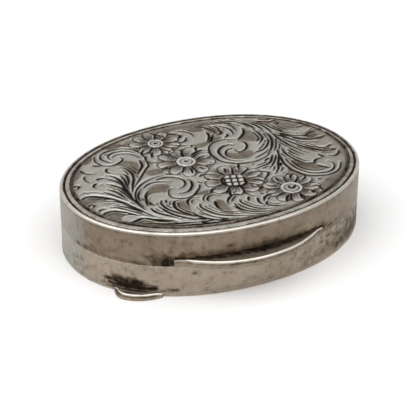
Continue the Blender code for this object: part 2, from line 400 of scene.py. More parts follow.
def engraved_silver():
    """The lid's plate: grey silver, near-black in the cuts, brown and hatched on the sunk ground, with grime
    and painted shade by the cuts and painted highlights beside them.
    """
    material, tree, shader = shader_tree("engraved_silver")
    shader.inputs["Metallic"].default_value = 1.0
    cloud = fit(tree, noise(tree, 130, 5, 0.6, 0.5), 0.34, 0.66)
    speck = fit(tree, noise(tree, 900, 5, 0.6), 0.36, 0.64)
    wear = total(tree, (cloud, 0.5), (speck, 0.5))
    cut, ground = reading(tree, "cut"), reading(tree, "ground")
    colour = blend_colours(tree, wear, PLATE_BRIGHT, PLATE_DULL)
    colour = blend_colours(tree, ground, colour, blend_colours(tree, speck, GROUND_LIGHT, GROUND_DARK), 0.88)
    # Grime, with painted shade on the lee of the cuts, over the petals and by the field's edge.
    colour = blend_colours(tree, reading(tree, "grime_and_shade"), colour, PLATE_GRIME_AND_SHADE, 0.86)
    # The burrs' bright metal, with a painted highlight.
    colour = blend_colours(tree, reading(tree, "burr_and_highlight"), colour, BURR_HIGHLIGHT_SILVER, 0.72)
    colour = blend_colours(tree, cut, colour, CUT_BLACK)
    tree.links.new(colour, shader.inputs["Base Color"])
    rough = total(tree, (wear, 0.16), 0.27, (cut, 0.3), (ground, 0.18))
    tree.links.new(rough, shader.inputs["Roughness"])
    add_bump(tree, shader, total(tree, (speck, 0.5), (scratches(tree, 6500, 700), -0.25)), 0.000015, 0.5)
    return material


WALL_SILVER = worn_silver("wall_silver", (0.435, 0.37, 0.30), (0.27, 0.22, 0.165), 0.31,
                          mottle=850, patch=75, ends=0.65)
LID_WALL_SILVER = worn_silver("lid_wall_silver", (0.288, 0.234, 0.178), (0.150, 0.116, 0.082), 0.30,
                              mottle=850, patch=80, ends=0.55)
RIM_SILVER = worn_silver("rim_silver", (0.53, 0.51, 0.455), (0.38, 0.36, 0.305), 0.30,
                         mottle=700, patch=160, scratch=0.2, pits=0.1)
THUMB_SILVER = worn_silver("thumb_silver", (0.31, 0.26, 0.20), (0.20, 0.162, 0.118), 0.36,
                           mottle=600, patch=150, scratch=0.4)
INSIDE_SILVER = worn_silver("inside_silver", (0.66, 0.64, 0.58), (0.46, 0.43, 0.36), 0.26,
                            mottle=300, patch=60, scratch=0.6)
HINGE_SILVER = worn_silver("hinge_silver", (0.52, 0.47, 0.40), (0.26, 0.22, 0.17), 0.28,
                           mottle=900, patch=300)
PIN_SILVER = worn_silver("pin_silver", (0.60, 0.57, 0.51), (0.34, 0.30, 0.25), 0.22, mottle=1400, patch=500)
ENGRAVED_SILVER = engraved_silver()


# ---------------------------------------------------------------- hinges, in their own frames

JOINTS = {joint["name"]: joint for joint in frame["joints"]}
KNUCKLE_GAP = 0.06  # between one knuckle and the next
BASE_KNUCKLE_LENGTH = 1.2  # that barrel lies askew in the frame, so its boxes don't show this
GROOVE_GAP = 0.06
GROOVE_END = 0.35  # how far a groove runs on past each end of its barrel
NOTCH_GAP = 0.05


def hinge_frame(joint_name):
    """Carries a hinge's own frame to its place: X along the pin, Y away from the wall, Z up; millimetres."""
    joint = JOINTS[joint_name]
    place = Vector(joint["pos_m"]) / MM
    along = -Vector(joint["axis"])
    outward = Vector((0, 0, 1)).cross(along)
    if outward.dot(place) < 0:
        along, outward = -along, -outward
    turned = Matrix((along, outward, Vector((0, 0, 1)))).transposed().to_4x4()
    turned.translation = place
    return turned


class Hinge:
    """One hinge barrel in millimetres. Three of its five knuckles are on the box, the others on lid_body."""

    def __init__(self, joint, prefix, bore, lid_body, length=None, footed=False):
        low, high = span(f"{prefix}_hinge_body_knuckle_centre")
        self.matrix = np.array(hinge_frame(joint))
        self.prefix, self.lid_body, self.footed = prefix, lid_body, footed
        self.radius, self.bore = (high[2] - low[2]) / 2, bore
        self.length = length or high[0] - low[0]
        self.half = (5 * self.length + 4 * KNUCKLE_GAP) / 2

    def into(self, points):
        """Points in the hinge's frame."""
        return (points - self.matrix[:3, 3]) @ self.matrix[:3, :3]

    def back(self, points):
        """Points of the hinge's frame, at their places."""
        return points @ self.matrix[:3, :3].T + self.matrix[:3, 3]

    def middle(self, index):
        """The middle of one knuckle along the pin; the knuckles are numbered from 0 to 4."""
        return (index - 2) * (self.length + KNUCKLE_GAP)


LID_HINGE = Hinge("lid_hinge", "lid", bore=0.42, lid_body="lid")
BASE_HINGE = Hinge("base_lid_hinge", "base", bore=0.34, lid_body="base_lid", length=BASE_KNUCKLE_LENGTH,
                   footed=True)


def press_groove(points, hinge):
    """Pushes wall points back out of the round groove that a barrel lies in."""
    local = hinge.into(points)
    reach = hinge.radius + GROOVE_GAP
    inside = (np.abs(local[:, 0]) < hinge.half + GROOVE_END) & (np.hypot(local[:, 1], local[:, 2]) < reach)
    depth = np.sqrt(np.maximum(reach ** 2 - local[:, 2] ** 2, 0))
    local[inside, 1] = -depth[inside]
    points[:] = hinge.back(local)


def press_notch(points, hinge):
    """Pushes plate points back to the straight notch that leaves room for a barrel."""
    local = hinge.into(points)
    line = -(hinge.radius + NOTCH_GAP)
    inside = (np.abs(local[:, 0]) < hinge.half + GROOVE_END) & (local[:, 1] > line)
    local[inside, 1] = line
    points[:] = hinge.back(local)


# ---------------------------------------------------------------- marks on the walls

def patch_mark(points, bearing, height, width, tall, strength, seed):
    """A dark patch on a wall at this bearing and height: its width in degrees, and how tall it is."""
    turn = (bearings(points) - bearing + 180) % 360 - 180
    ragged = 0.75 + 0.5 * ripple(points, 2.2, 50 + seed)
    away = np.sqrt((turn / (width * ragged)) ** 2 + ((points[:, 2] - height) / (tall * ragged)) ** 2)
    return strength * np.exp(-(away ** 2))


def run_mark(points, start, end, height, tall, strength, seed):
    """A dark band that runs along a wall between two bearings."""
    turn = bearings(points)
    ragged = 0.6 + 0.8 * ripple(points, 1.8, 80 + seed)
    ends = np.clip((turn - start) / 1.5, 0, 1) * np.clip((end - turn) / 1.5, 0, 1)
    away = np.abs(points[:, 2] - height) / (tall * ragged)
    return strength * ends * np.exp(-(away ** 2))


def worst(*marks):
    """The strongest of several marks at each point."""
    return np.clip(np.max(np.stack(marks), 0), 0, 1)


def stains_and_shade(points, patches, runs):
    """The strongest of these dark patches and runs at each point, stains and painted shade alike."""
    marks = [patch_mark(points, *patch) for patch in patches] + [run_mark(points, *run) for run in runs]
    return worst(*marks)


# Dark patches: bearing, height, width in degrees, how tall, strength and seed.
LID_PATCHES = [
    (-130.5, LID_LOW[2] + 0.70, 5.5, 1.5, 0.80, 3),
    (-127.0, LID_LOW[2] + 0.60, 3.0, 1.3, 1.4, 4),
    (-66, LID_THUMB_HIGH[2] - 0.15, 2.6, 0.65, 1.0, 5),
    (-62, LID_THUMB_HIGH[2] - 0.55, 2.4, 0.32, 0.8, 6),
    (-57.5, LID_THUMB_HIGH[2] - 0.35, 0.9, 0.22, 0.7, 7),
    (-104, 8.2, 3.0, 0.35, 0.42, 10),
    (-146, 9.0, 4, 0.5, 0.3, 11),
    (-160, 7.6, 9, 1.6, 0.22, 15),
    (-118, 8.9, 7, 0.9, 0.20, 16),
    (-78, 8.6, 2.0, 0.25, 0.4, 12),
]
BODY_PATCHES = [
    (-152.2, 1.95, 2.6, 0.45, 1.1, 22),
    (-146.8, 1.90, 4.8, 0.90, 1.5, 23),
    (-139.5, 1.85, 4.6, 0.85, 1.45, 24),
    (-42, 2.2, 28, 3.4, 0.62, 37),
    (-125, 1.2, 2.4, 0.25, 0.8, 25),
    (-117, 4.1, 1.2, 0.3, 0.6, 29),
    (-72, 3.0, 1.0, 0.3, 0.5, 30),
    (-62, 4.3, 2.6, 0.35, 0.6, 31),
    (-66, 3.7, 0.6, 0.2, 0.7, 32),
    (-56, 3.9, 0.8, 0.2, 0.6, 33),
    (-170, 3.0, 6, 1.4, 0.3, 34),
]
# Runs: the bearings of both ends, height, how tall, strength and seed.
LID_RUNS = [
    # The first two runs lie along the thumbpiece's upper joint: tarnish, with painted shade in that crease.
    (-125.5, -64, LID_THUMB_HIGH[2] + 0.05, 0.50, 1.0, 1),
    (-124, -84, LID_THUMB_HIGH[2] + 0.65, 0.65, 0.50, 2),
    (-174, -132, LID_LOW[2] + 0.35, 0.50, 0.42, 8),
    (-180, 180, LID_LOW[2], 0.10, 0.25, 9),
    (-180, 180, HEIGHT - RIM_ROUND - 0.14, 0.08, 0.42, 14),
]
BODY_RUNS = [
    (-154, -130, BODY_LOW[2] + 0.45, 0.55, 1.2, 21),
    (-138, -130, 1.80, 0.12, 0.8, 36),
    (-158, -122, BODY_LOW[2] + 0.20, 0.28, 0.5, 26),
    (-180, 180, BODY_HIGH[2], 0.10, 0.25, 27),
]


# ---------------------------------------------------------------- walls and rings

def wall_profile(bottom, top, wall, top_round, bottom_round, rows, inner):
    """A wall's closed outline: down its inside, round its lower edge, and up its outside in many rows."""
    profile = round_corner(wall - inner, top - inner, inner, 0, 90, 4)
    profile += round_corner(top_round, top - top_round, top_round, 90, 180, 8)
    profile += straight((0, top - top_round), (0, bottom + bottom_round), rows)
    profile += round_corner(bottom_round, bottom + bottom_round, bottom_round, 180, 270, 3)
    profile += round_corner(wall - inner, bottom + inner, inner, 270, 360, 3)
    profile += straight((wall, bottom + inner), (wall, top - inner), 8)
    return profile


def build_lid_wall():
    """The lid's wall, with its upper edge rubbed bright and given a painted highlight, and the stains and
    painted shade over its thumbpiece.
    """
    profile = wall_profile(SEAM + SEAM_LINE, HEIGHT, LID_WALL, RIM_ROUND, EDGE_ROUND, 34, LID_INNER_ROUND)
    points, faces = wall_points(profile)
    dent_outside(points, 9, 3)
    press_groove(points, LID_HINGE)
    inset = inset_of(points)
    within = 0.35 * ripple(points, 4, 13) * np.clip((points[:, 2] - HEIGHT + 2) / 2, 0, 1)
    stain_and_shade = np.where(inset < LID_WALL - 0.1, stains_and_shade(points, LID_PATCHES, LID_RUNS), within)
    under_border = np.clip((inset - 0.46) / 0.12, 0, 1) * (points[:, 2] > HEIGHT - 0.45)
    # The rim's upper rounding, rubbed bright and given a painted highlight.
    edge = np.clip((points[:, 2] - (HEIGHT - RIM_ROUND)) / RIM_ROUND, 0, 1) * (inset < 0.55)
    make_piece("lid_wall", points, faces, LID_WALL_SILVER, "lid", ["lid_band"],
               {"stain_and_shade": worst(stain_and_shade, 0.78 * under_border), "edge": edge}, 60)


def build_body_wall():
    """The box's wall, with the grooves for both hinges and the stains by the base lid's thumbpiece."""
    bottom, top = BASE_HIGH[2] + SEAM_LINE, SEAM - SEAM_LINE
    profile = wall_profile(bottom, top, BODY_WALL, BODY_TOP_ROUND, FINE_EDGE, 30, FINE_EDGE)
    points, faces = wall_points(profile)
    dent_outside(points, 8, 4)
    press_groove(points, LID_HINGE)
    press_groove(points, BASE_HINGE)
    outside = inset_of(points) < BODY_WALL - 0.1
    stain_and_shade = np.where(outside, stains_and_shade(points, BODY_PATCHES, BODY_RUNS), 0.3 * ripple(points, 4, 35))
    # The upper rounded edge along the seam, rubbed bright and given a painted highlight.
    edge = np.clip((points[:, 2] - (BODY_HIGH[2] - BODY_TOP_ROUND)) / BODY_TOP_ROUND, 0, 1) * 0.35
    make_piece("body_wall", points, faces, WALL_SILVER, "box", ["body_band"],
               {"stain_and_shade": stain_and_shade, "edge": edge}, 60)


def build_ring(name, bottom, top, inset, wall, body, node, seed):
    """A plain inner ring with a rounded crest, lightly worn along it."""
    crest = wall / 2 - 0.02
    profile = round_corner(inset + wall - crest, top - crest, crest, 0, 90, 5)
    profile += round_corner(inset + crest, top - crest, crest, 90, 180, 5)
    profile += straight((inset, top - crest), (inset, bottom), 10)
    profile += [(inset, bottom), (inset + wall, bottom)]
    profile += straight((inset + wall, bottom), (inset + wall, top - crest), 10)
    points, faces = wall_points(profile)
    dent_inwards(points, 0.02 * ripple(points, 11, seed) * (points[:, 2] > bottom + 0.01))
    stain_and_shade = 0.5 * np.clip(1 - (points[:, 2] - bottom) / 0.35, 0, 1) * ripple(points, 3, seed + 1)
    edge = np.clip((points[:, 2] - (top - crest)) / crest, 0, 1)
    make_piece(name, points, faces, INSIDE_SILVER, body, [node],
               {"stain_and_shade": stain_and_shade, "edge": edge}, 50)


# ---------------------------------------------------------------- plates

def disc_grid(columns, rows, inset):
    """A grid of points over the whole oval, and the numbers of its edge points in order."""
    u, v = np.meshgrid(np.linspace(-1, 1, columns), np.linspace(-1, 1, rows))
    x, y = u * np.sqrt(1 - v * v / 2), v * np.sqrt(1 - u * u / 2)
    radius = np.hypot(x, y)
    power = (np.abs(x) ** OVAL_POWER + np.abs(y) ** OVAL_POWER) ** (1 / OVAL_POWER)
    scale = np.where(power > 0, radius / np.where(power > 0, power, 1), 1)
    plan = np.stack([x * scale * (HALF_LENGTH - inset), y * scale * (HALF_WIDTH - inset)], -1).reshape(-1, 2)
    number = np.arange(columns * rows).reshape(rows, columns)
    edge = np.concatenate([number[0, :-1], number[:-1, -1], number[-1, :0:-1], number[:0:-1, 0]])
    return plan, edge


def plate_mesh(columns, rows, top, side, bottom=None):
    """A closed plate: a gridded top, a side that follows (inset, height) steps, and a gridded or flat bottom.

    top and bottom are (inset, height) of the edges of those faces.
    """
    plan, edge = disc_grid(columns, rows, top[0])
    points = [np.column_stack([plan, np.full(len(plan), top[1])])]
    faces = strip_faces(rows, columns, False, False)
    turns = np.radians(bearings(points[0][edge]))
    count, loop = len(plan), edge
    for inset, height in side:
        points.append(np.column_stack([oval(turns, inset), np.full(len(turns), height)]))
        following = np.arange(count, count + len(turns))
        faces += np.stack([loop, following, np.roll(following, -1), np.roll(loop, -1)], -1).tolist()
        loop = following
        count += len(turns)
    if bottom is None:
        faces.append(loop[::-1].tolist())
    else:
        plan, edge = disc_grid(columns, rows, bottom[0])
        points.append(np.column_stack([plan, np.full(len(plan), bottom[1])]))
        faces += (np.array(strip_faces(rows, columns, False, False)) + count)[:, ::-1].tolist()
        following = edge + count
        faces += np.stack([loop, following, np.roll(following, -1), np.roll(loop, -1)], -1).tolist()
    return np.concatenate(points), faces


def build_floor():
    """The floor between the two compartments."""
    low, high, r = FLOOR_LOW[2], FLOOR_HIGH[2], FLOOR_ROUND
    side = [(PLATE_INSET + r - r * math.sin(a), high - r + r * math.cos(a)) for a in np.radians((30, 60, 90))]
    side += [(PLATE_INSET, low)]
    points, faces = plate_mesh(150, 112, (PLATE_INSET + r, high), side, (PLATE_INSET + 0.3, low))
    upper = points[:, 2] > high - 0.02
    points[upper, 2] -= 0.05 * ripple(points[upper], 14, 21)
    make_piece("floor_plate", points, faces, INSIDE_SILVER, "box", ["body_floor"],
               {"stain_and_shade": 0.55 * rim_dirt(points, PLATE_INSET, 4, 22), "edge": 0.0}, 50)


def build_base_lid():
    """The base lid's plate, a little hollow underneath, with the notch for its hinge."""
    low, high, r, foot = BASE_LOW[2], BASE_HIGH[2], FINE_EDGE, BASE_ROUND
    side = [(r - r * math.sin(a), high - r + r * math.cos(a)) for a in np.radians((45, 90))]
    side += [(0, low + foot + (high - r - low - foot) * s) for s in (0.66, 0.33)]
    side += [(foot - foot * math.cos(a), low + foot - foot * math.sin(a))
             for a in np.radians((0, 18, 36, 54, 72))]
    points, faces = plate_mesh(170, 128, (r, high), side, (foot, low))
    middle = 1 - inside_oval(points[:, 0], points[:, 1], 0.3)
    under, above = points[:, 2] < low + 0.005, points[:, 2] > high - 0.005
    points[under, 2] += 0.07 * np.clip(middle[under] * 3, 0, 1) * (0.5 + 0.5 * ripple(points[under], 12, 24))
    points[above, 2] -= 0.03 * np.clip(middle[above] * 3, 0, 1) * ripple(points[above], 10, 25)
    press_notch(points, BASE_HINGE)
    seam_dirt = 0.15 * np.clip(1 - np.abs(points[:, 2] - high) / 0.12, 0, 1) * (np.abs(middle) < 0.03)
    by_thumb = run_mark(points, -155, -129, high, 0.25, 0.9, 26) * (inset_of(points) < 0.3)
    edge = np.clip(1 - np.abs(points[:, 2] - (low + 0.08)) / 0.12, 0, 1) * (middle < 0.04) * 0.8
    make_piece("base_lid_plate", points, faces, WALL_SILVER, "base_lid", ["base_plate"],
               {"stain_and_shade": worst(seam_dirt, by_thumb), "edge": edge}, 50)


# ---------------------------------------------------------------- the engraving, drawn in millimetres

# Each cut is its width and the places that its curve passes through. X runs to the right, Y to the hinge.
SCROLL_1 = [
    (.28, [(-7.8, 10.9), (-8.05, 11.8), (-8.7, 12.6), (-9.6, 13.15), (-10.2, 13.4)]),
    (.22, [(-8.6, 11.3), (-9.1, 11.9), (-9.8, 12.4), (-10.7, 12.6), (-11.4, 12.65), (-12.2, 12.4),
           (-12.8, 12), (-13.05, 11.4), (-13.1, 10.8), (-12.9, 10.4)]),
    (.2, [(-8.6, 9.2), (-8.7, 9.7), (-9, 10.4), (-9.4, 11), (-10.1, 11.45), (-11, 11.7), (-11.8, 11.6),
          (-12.5, 11.1)]),
    (.25, [(-11.2, 10.6), (-11.1, 10.1), (-11.3, 9.6), (-12, 9.05), (-12.9, 8.7), (-13.7, 8.6),
           (-14.4, 8.9), (-15, 9.4), (-15.3, 10.2), (-15.5, 11), (-15.3, 11.8), (-15, 12.6)]),
    (.28, [(-13.2, 9.7), (-13.7, 10.1), (-14.1, 10.8), (-14.3, 11.4), (-14.2, 12), (-13.9, 12.6)]),
    (.35, [(-16.3, 9.9), (-15.4, 9.3)]),
]
STEM_1 = [
    (.25, [(-6.8, 11.3), (-7.1, 10.8), (-7.6, 10.3), (-7.67, 9.4), (-7.55, 8.8), (-7.9, 8), (-7.8, 6.7)]),
    (.22, [(-7.9, 7.5), (-8.4, 5.9), (-9.2, 5.1), (-10.2, 4), (-11.1, 3), (-11.9, 2.1), (-12.9, 1),
           (-13.6, 0)]),
    (.28, [(-8.9, 8.3), (-9.05, 7.3), (-9.4, 6.2), (-10.5, 4.9), (-11.4, 3.8)]),
]
LEFT_FAN_UP = [
    (.3, [(-12.7, 7.4), (-12.2, 6.8), (-11.9, 5.8), (-11.9, 4.8), (-12.1, 3.8), (-12.5, 2.7), (-13.1, 1.7),
          (-13.8, .3), (-14.3, -.8), (-14.8, -1.9)]),
    (.28, [(-13.2, 5.2), (-13, 4.5), (-13.1, 3.7), (-13.4, 2.7), (-14, 1.4)]),
    (.3, [(-13.8, 4.8), (-13.8, 3.9), (-13.9, 2.8), (-14.2, 1.7), (-14.5, .3)]),
    (.25, [(-14.7, 8.1), (-15.2, 7.4), (-15.2, 6.9), (-14.9, 6.3), (-14.5, 5.8)]),
    (.38, [(-15.7, 6), (-15.2, 5.5), (-14.8, 4.7), (-14.6, 3.7), (-14.6, 2.7), (-14.8, 1.4), (-14.9, .3),
           (-15.1, -1.9), (-15.2, -3.7), (-15.2, -5.2), (-15, -6.8)]),
    (.3, [(-16.2, 4.9), (-15.5, 4), (-15.1, 3), (-15, 2)]),
    (.32, [(-16.9, 3.2), (-16.3, 2.7), (-15.9, 2), (-15.4, 1.1), (-15.3, .1), (-15.2, -1.7)]),
    (.3, [(-17.4, 1.7), (-16.9, .9), (-16.5, 0), (-16.3, -1), (-16.1, -2.5)]),
    (.25, [(-16, 1), (-15.8, 0), (-15.6, -1.2), (-15.5, -3.7)]),
    (.32, [(-18.3, 1.1), (-17.7, .2), (-17.1, -1), (-16.7, -2), (-16.3, -2.9)]),
    (.25, [(-18.8, 9.2), (-18.7, 8.4), (-18.2, 7.8), (-17.4, 7.4)]),
    (.15, [(-19, 7.2), (-19.4, 6.5), (-19.4, 5.7), (-19.1, 5), (-18.7, 4.9)]),
    (.25, [(-18.2, 4.3), (-18.8, 3.9), (-19.1, 3.4), (-19, 2.9)]),
    (.25, [(-22.2, 4.8), (-21.1, 4.7), (-21.4, 4.1), (-21.9, 3.8)]),
    (.2, [(-21.3, 2.4), (-20.8, 2.1), (-20.7, 1.7)]),
    (.3, [(-17.8, 5.3), (-17.1, 5.5), (-16.2, 5.2)]),
]
LEFT_FAN_DOWN = [
    (.4, [(-22.4, .5), (-21.5, .9), (-20.5, .75), (-19.6, .1), (-18.9, -.5), (-18.1, -1.3), (-17.5, -2.2),
          (-17, -3.2), (-16.4, -4.3), (-16, -5.4), (-15.4, -6.8)]),
    (.2, [(-20.3, -1.3), (-19.3, -1.7), (-18.3, -2.2), (-17.5, -2.9), (-16.9, -3.7), (-16.3, -4.7)]),
    (.2, [(-22.3, -2), (-21.9, -1.7), (-21.4, -1.8), (-21.5, -2.3), (-22, -2.7)]),
    (.3, [(-19.3, -3.7), (-18.4, -4.3), (-17.7, -5.3), (-17.1, -6.2), (-16.4, -7.1), (-15.8, -8.1),
          (-14.9, -9.2)]),
    (.22, [(-18.7, -3.4), (-17.8, -4.1), (-16.9, -5.2), (-16.2, -6.4), (-15.8, -7.3)]),
    (.25, [(-17.3, -3.7), (-16.7, -4.7), (-16.1, -5.9), (-15.4, -7.3), (-14.8, -8.8), (-14, -10.1)]),
    (.3, [(-21.5, -5.4), (-20.7, -4.9), (-19.5, -4.9), (-18.8, -5.4), (-18.1, -6), (-17.4, -6.8),
          (-16.8, -7.7)]),
    (.22, [(-21.5, -4), (-21, -3.7), (-20.4, -3.7), (-19.9, -4.1)]),
    (.35, [(-18.1, -6.9), (-17.3, -7.2), (-16.7, -7.9)]),
    (.45, [(-18.7, -9.3), (-17.8, -9.2), (-16.9, -9), (-16.2, -9.1), (-15.2, -10), (-14.2, -11),
           (-13.3, -11.7), (-12.3, -12.3)]),
    (.3, [(-19.5, -8.7), (-18.8, -9.4)]),
    (.35, [(-14, -6.7), (-14, -7.3), (-13.8, -8.2), (-13.2, -9.2), (-12.4, -10.2), (-11.7, -11.1)]),
]
SCROLL_2 = [
    (.18, [(-14.9, -5.9), (-14.9, -3.7), (-14.5, -2.2), (-13.8, -.9), (-12.9, .1), (-12, .8), (-11.1, 1.3),
           (-10.1, 1.7), (-9, 1.9), (-8, 1.9)]),
    (.22, [(-14.5, -3.9), (-14.2, -2.5), (-13.5, -1.4), (-12.9, -.7)]),
    (.25, [(-12.2, -.4), (-11.4, .1), (-10.7, .4), (-9.7, .4), (-8.8, .1), (-7.8, -.4)]),
    (.28, [(-9.3, 1.05), (-8.4, 1.2), (-7.5, 1.1), (-6.7, .7), (-6, 0), (-5.6, -.9), (-5.7, -1.8),
           (-6.1, -2.5), (-6.8, -3), (-7.3, -3.05)]),
    (.28, [(-4.8, -1.1), (-4.7, -1.8), (-5, -2.9), (-5.7, -3.9), (-6.4, -4.5), (-7.3, -4.7), (-8, -4.5)]),
    (.25, [(-4, -3.5), (-4.4, -4.3), (-5.2, -5.1), (-6.2, -6), (-7, -6.3), (-7.8, -6.3), (-8.7, -6),
           (-9.4, -5.4), (-9.7, -4.8), (-9.6, -3.9), (-9.2, -3.2), (-8.9, -2.7), (-8.3, -2.6)]),
    (.25, [(-14, -5.4), (-13.5, -4.1), (-13, -2.8), (-12.2, -1.7)]),
]
SMALL_LEAF = [
    (.3, [(-11.5, -5.3), (-11.9, -5.9), (-12, -6.7), (-11.9, -7.8), (-11.4, -9), (-10.8, -10.1),
          (-10, -11.1), (-9.1, -12.2)]),
    (.35, [(-12.7, -6.8), (-12.5, -7.7), (-12.2, -9), (-11.7, -10.1), (-10.9, -11.3), (-9.9, -12.4),
           (-8.8, -13.1), (-7.8, -13.4)]),
    (.2, [(-10.8, -5.4), (-11.1, -6), (-11.2, -6.5)]),
    (.35, [(-9.2, -6.4), (-9.9, -6.5), (-10.4, -7.4), (-10.6, -8.4), (-10.4, -9.4), (-9.9, -10.5),
           (-9, -11.8), (-8.4, -12.8)]),
    (.25, [(-13.1, -6.1), (-13.4, -5.5), (-13.3, -4.8)]),
]
BOTTOM_LEAVES = [
    (.25, [(-6.3, -6.8), (-7, -6.7), (-7.8, -7), (-8.2, -7.7), (-8.5, -8.5)]),
    (.3, [(-6.7, -8.9), (-7, -9.7), (-6.9, -10.5), (-6.5, -11.7), (-5.9, -12.8), (-5, -13.7), (-3.9, -14.4),
          (-2.7, -15), (-1.2, -15.7)]),
    (.22, [(-7.8, -11.1), (-7.4, -12), (-6.8, -13.1), (-5.9, -14.1), (-4.8, -14.8), (-3.4, -15.4)]),
    (.3, [(-8.9, -10.7), (-8.7, -11.8), (-8.1, -12.9), (-7.3, -13.9), (-6.2, -14.7), (-4.8, -15.3),
          (-3.2, -15.8)]),
    (.4, [(-9, -12.8), (-8.3, -13.3), (-7.5, -13.4)]),
    (.3, [(-9, -14.1), (-7.7, -14.9), (-6, -15.3)]),
    (.3, [(-4.2, -9.2), (-4.5, -10), (-4.7, -11.1), (-4.5, -12)]),
    (.22, [(-5.2, -8.8), (-5, -8.1), (-4.5, -7.5), (-4, -7.3), (-3.4, -7.4), (-2.9, -8)]),
    (.28, [(-1.9, -5.8), (-2.8, -5.8), (-3.3, -6.2), (-3.6, -6.7)]),
    (.28, [(-.5, -7.2), (-1, -8), (-1.2, -8.8), (-1.9, -9.4), (-2.5, -10.1), (-2.9, -10.9)]),
    (.2, [(-1.2, -8.9), (-.5, -8.7), (0, -8.9), (.4, -9.4)]),
    (.28, [(-.6, -10.5), (-.8, -11.3), (-.5, -12.3), (0, -13.3), (.7, -14.2), (1.7, -14.8), (3, -15.3)]),
    (.25, [(-1.5, -11.5), (-1.3, -12.4), (-.8, -13.5), (.1, -14.5), (1.2, -15.1)]),
    (.22, [(-2.5, -11.9), (-2.1, -13), (-1.4, -14), (-.3, -14.9), (.5, -15.4)]),
    (.25, [(1.1, -10.3), (.7, -10.9), (.4, -11.5)]),
    (.2, [(1.3, -8), (1.2, -8.9), (1.4, -9.8), (2.2, -10.7)]),
    (.25, [(2.2, -11.2), (1.8, -12), (1.7, -12.9), (2, -13.9)]),
    (.32, [(5.2, -11.2), (4.3, -11.2), (3.4, -11.5), (2.8, -12.1), (2.5, -12.7)]),
    (.3, [(3, -12.9), (2.5, -13.5), (2.8, -14.2), (3.7, -14.8), (4.8, -15.1)]),
]
FLOWER_C = [
    (.25, [(-.2, -6.1), (-.45, -5.3), (-.45, -4.4), (-.1, -3.5), (.44, -2.9)]),
    (.25, [(3.4, -4.4), (3.3, -5.3), (2.8, -6.3), (1.7, -6.9), (.55, -6.55), (-.2, -6.1)]),
    (.25, [(2, -.5), (1.8, -1.2), (1.55, -1.7)]),
    (.25, [(4.8, -.1), (4.3, -1), (3.9, -1.8)]),
    (.25, [(4.5, -3.8), (5.3, -3.6), (6.1, -3.7), (7.1, -4.1), (7.7, -4.7), (7.4, -5.3), (6.8, -5.9),
           (6.1, -6.5), (5.7, -7.3)]),
    (.3, [(4.3, -5.7), (5, -6.1), (5.5, -6.9), (5.5, -7.8)]),
    (.25, [(3.2, -7.1), (3.3, -7.8), (3.9, -8.3), (4.5, -8.5), (3.6, -9.2)]),
    (.2, [(1.7, -7.2), (2.1, -8.1)]),
    (.25, [(-2.8, -1.1), (-1.9, -.7), (-1, -1.05), (-.4, -1.5)]),
    (.2, [(-3.8, -2.4), (-3.4, -3.2)]),
]
FLOWER_B = [
    (.22, [(-2.2, 6.3), (-1.7, 7.4), (-1, 8.8)]),
    (.25, [(-4.1, 7.1), (-4.3, 7.9), (-5, 8.3), (-5.7, 8.4)]),
    (.25, [(-3.1, 8.8), (-3.5, 9.4), (-3.8, 10)]),
    (.25, [(-2.4, 9.1), (-1.8, 8.7)]),
    (.3, [(.8, 7.2), (1.1, 7.9), (1.4, 8.4)]),
    (.3, [(.8, 8.8), (1.2, 9.2)]),
    (.25, [(-.7, 5.9), (.2, 6.5), (1.1, 6.9), (1.9, 6.9), (2.4, 6.2)]),
    (.2, [(-.3, 4.4), (.5, 4.8), (1.7, 4.7)]),
    (.25, [(-2.8, 2.3), (-2.9, 1.4), (-3.3, .3)]),
    (.2, [(-1.3, 1.7), (-.8, .7)]),
    (.2, [(-7.1, 6.7), (-6.7, 6.2), (-6, 5.8)]),
    (.2, [(-7, 3.8), (-6.2, 4.05), (-5.3, 4.2)]),
    (.3, [(-7.1, 2.1), (-6.2, 1.6)]),
    (.25, [(-6.7, 8.2), (-6.3, 9), (-5.8, 9.9)]),
]
TOP_FRONDS = [
    (.25, [(1.4, 14.9), (2.1, 14.2), (2.7, 13.3), (2.8, 12.5), (2.7, 11.9)]),
    (.18, [(2.2, 15.1), (3, 14.4), (3.4, 13.8)]),
    (.3, [(.7, 13.7), (.9, 13.2), (.4, 12.5), (.1, 12.2)]),
    (.25, [(-.4, 11.4), (-.1, 10.9), (.7, 11), (1.2, 11.5), (1.4, 12.1)]),
    (.25, [(-1.7, 10.7), (-1.1, 10.1), (-.3, 9.7), (.5, 9.4)]),
    (.3, [(5.4, 12.1), (5.3, 11.2)]),
    (.3, [(4.1, 9), (4.7, 9.3), (5.3, 10.1), (6.1, 11.1)]),
    (.28, [(7.7, 14), (8.5, 13.1), (9.2, 12.1), (9.4, 11.1), (9.2, 10.1), (8.9, 9.4)]),
    (.2, [(9.4, 13.3), (10, 12.5), (10.2, 11.7), (10, 10.3)]),
    (.22, [(9.7, 14.2), (10.4, 13.5), (11.1, 12.7), (11.4, 11.9)]),
    (.28, [(11.4, 11), (11.4, 10.3), (10.8, 9.2), (9.9, 8.3), (9, 7.7), (8.7, 7.2)]),
    (.25, [(8.2, 10.2), (7.9, 9.5), (7.1, 9.05)]),
    (.3, [(7.5, 12.2), (7.7, 11.4), (7.2, 10.7), (6.3, 10.5)]),
]
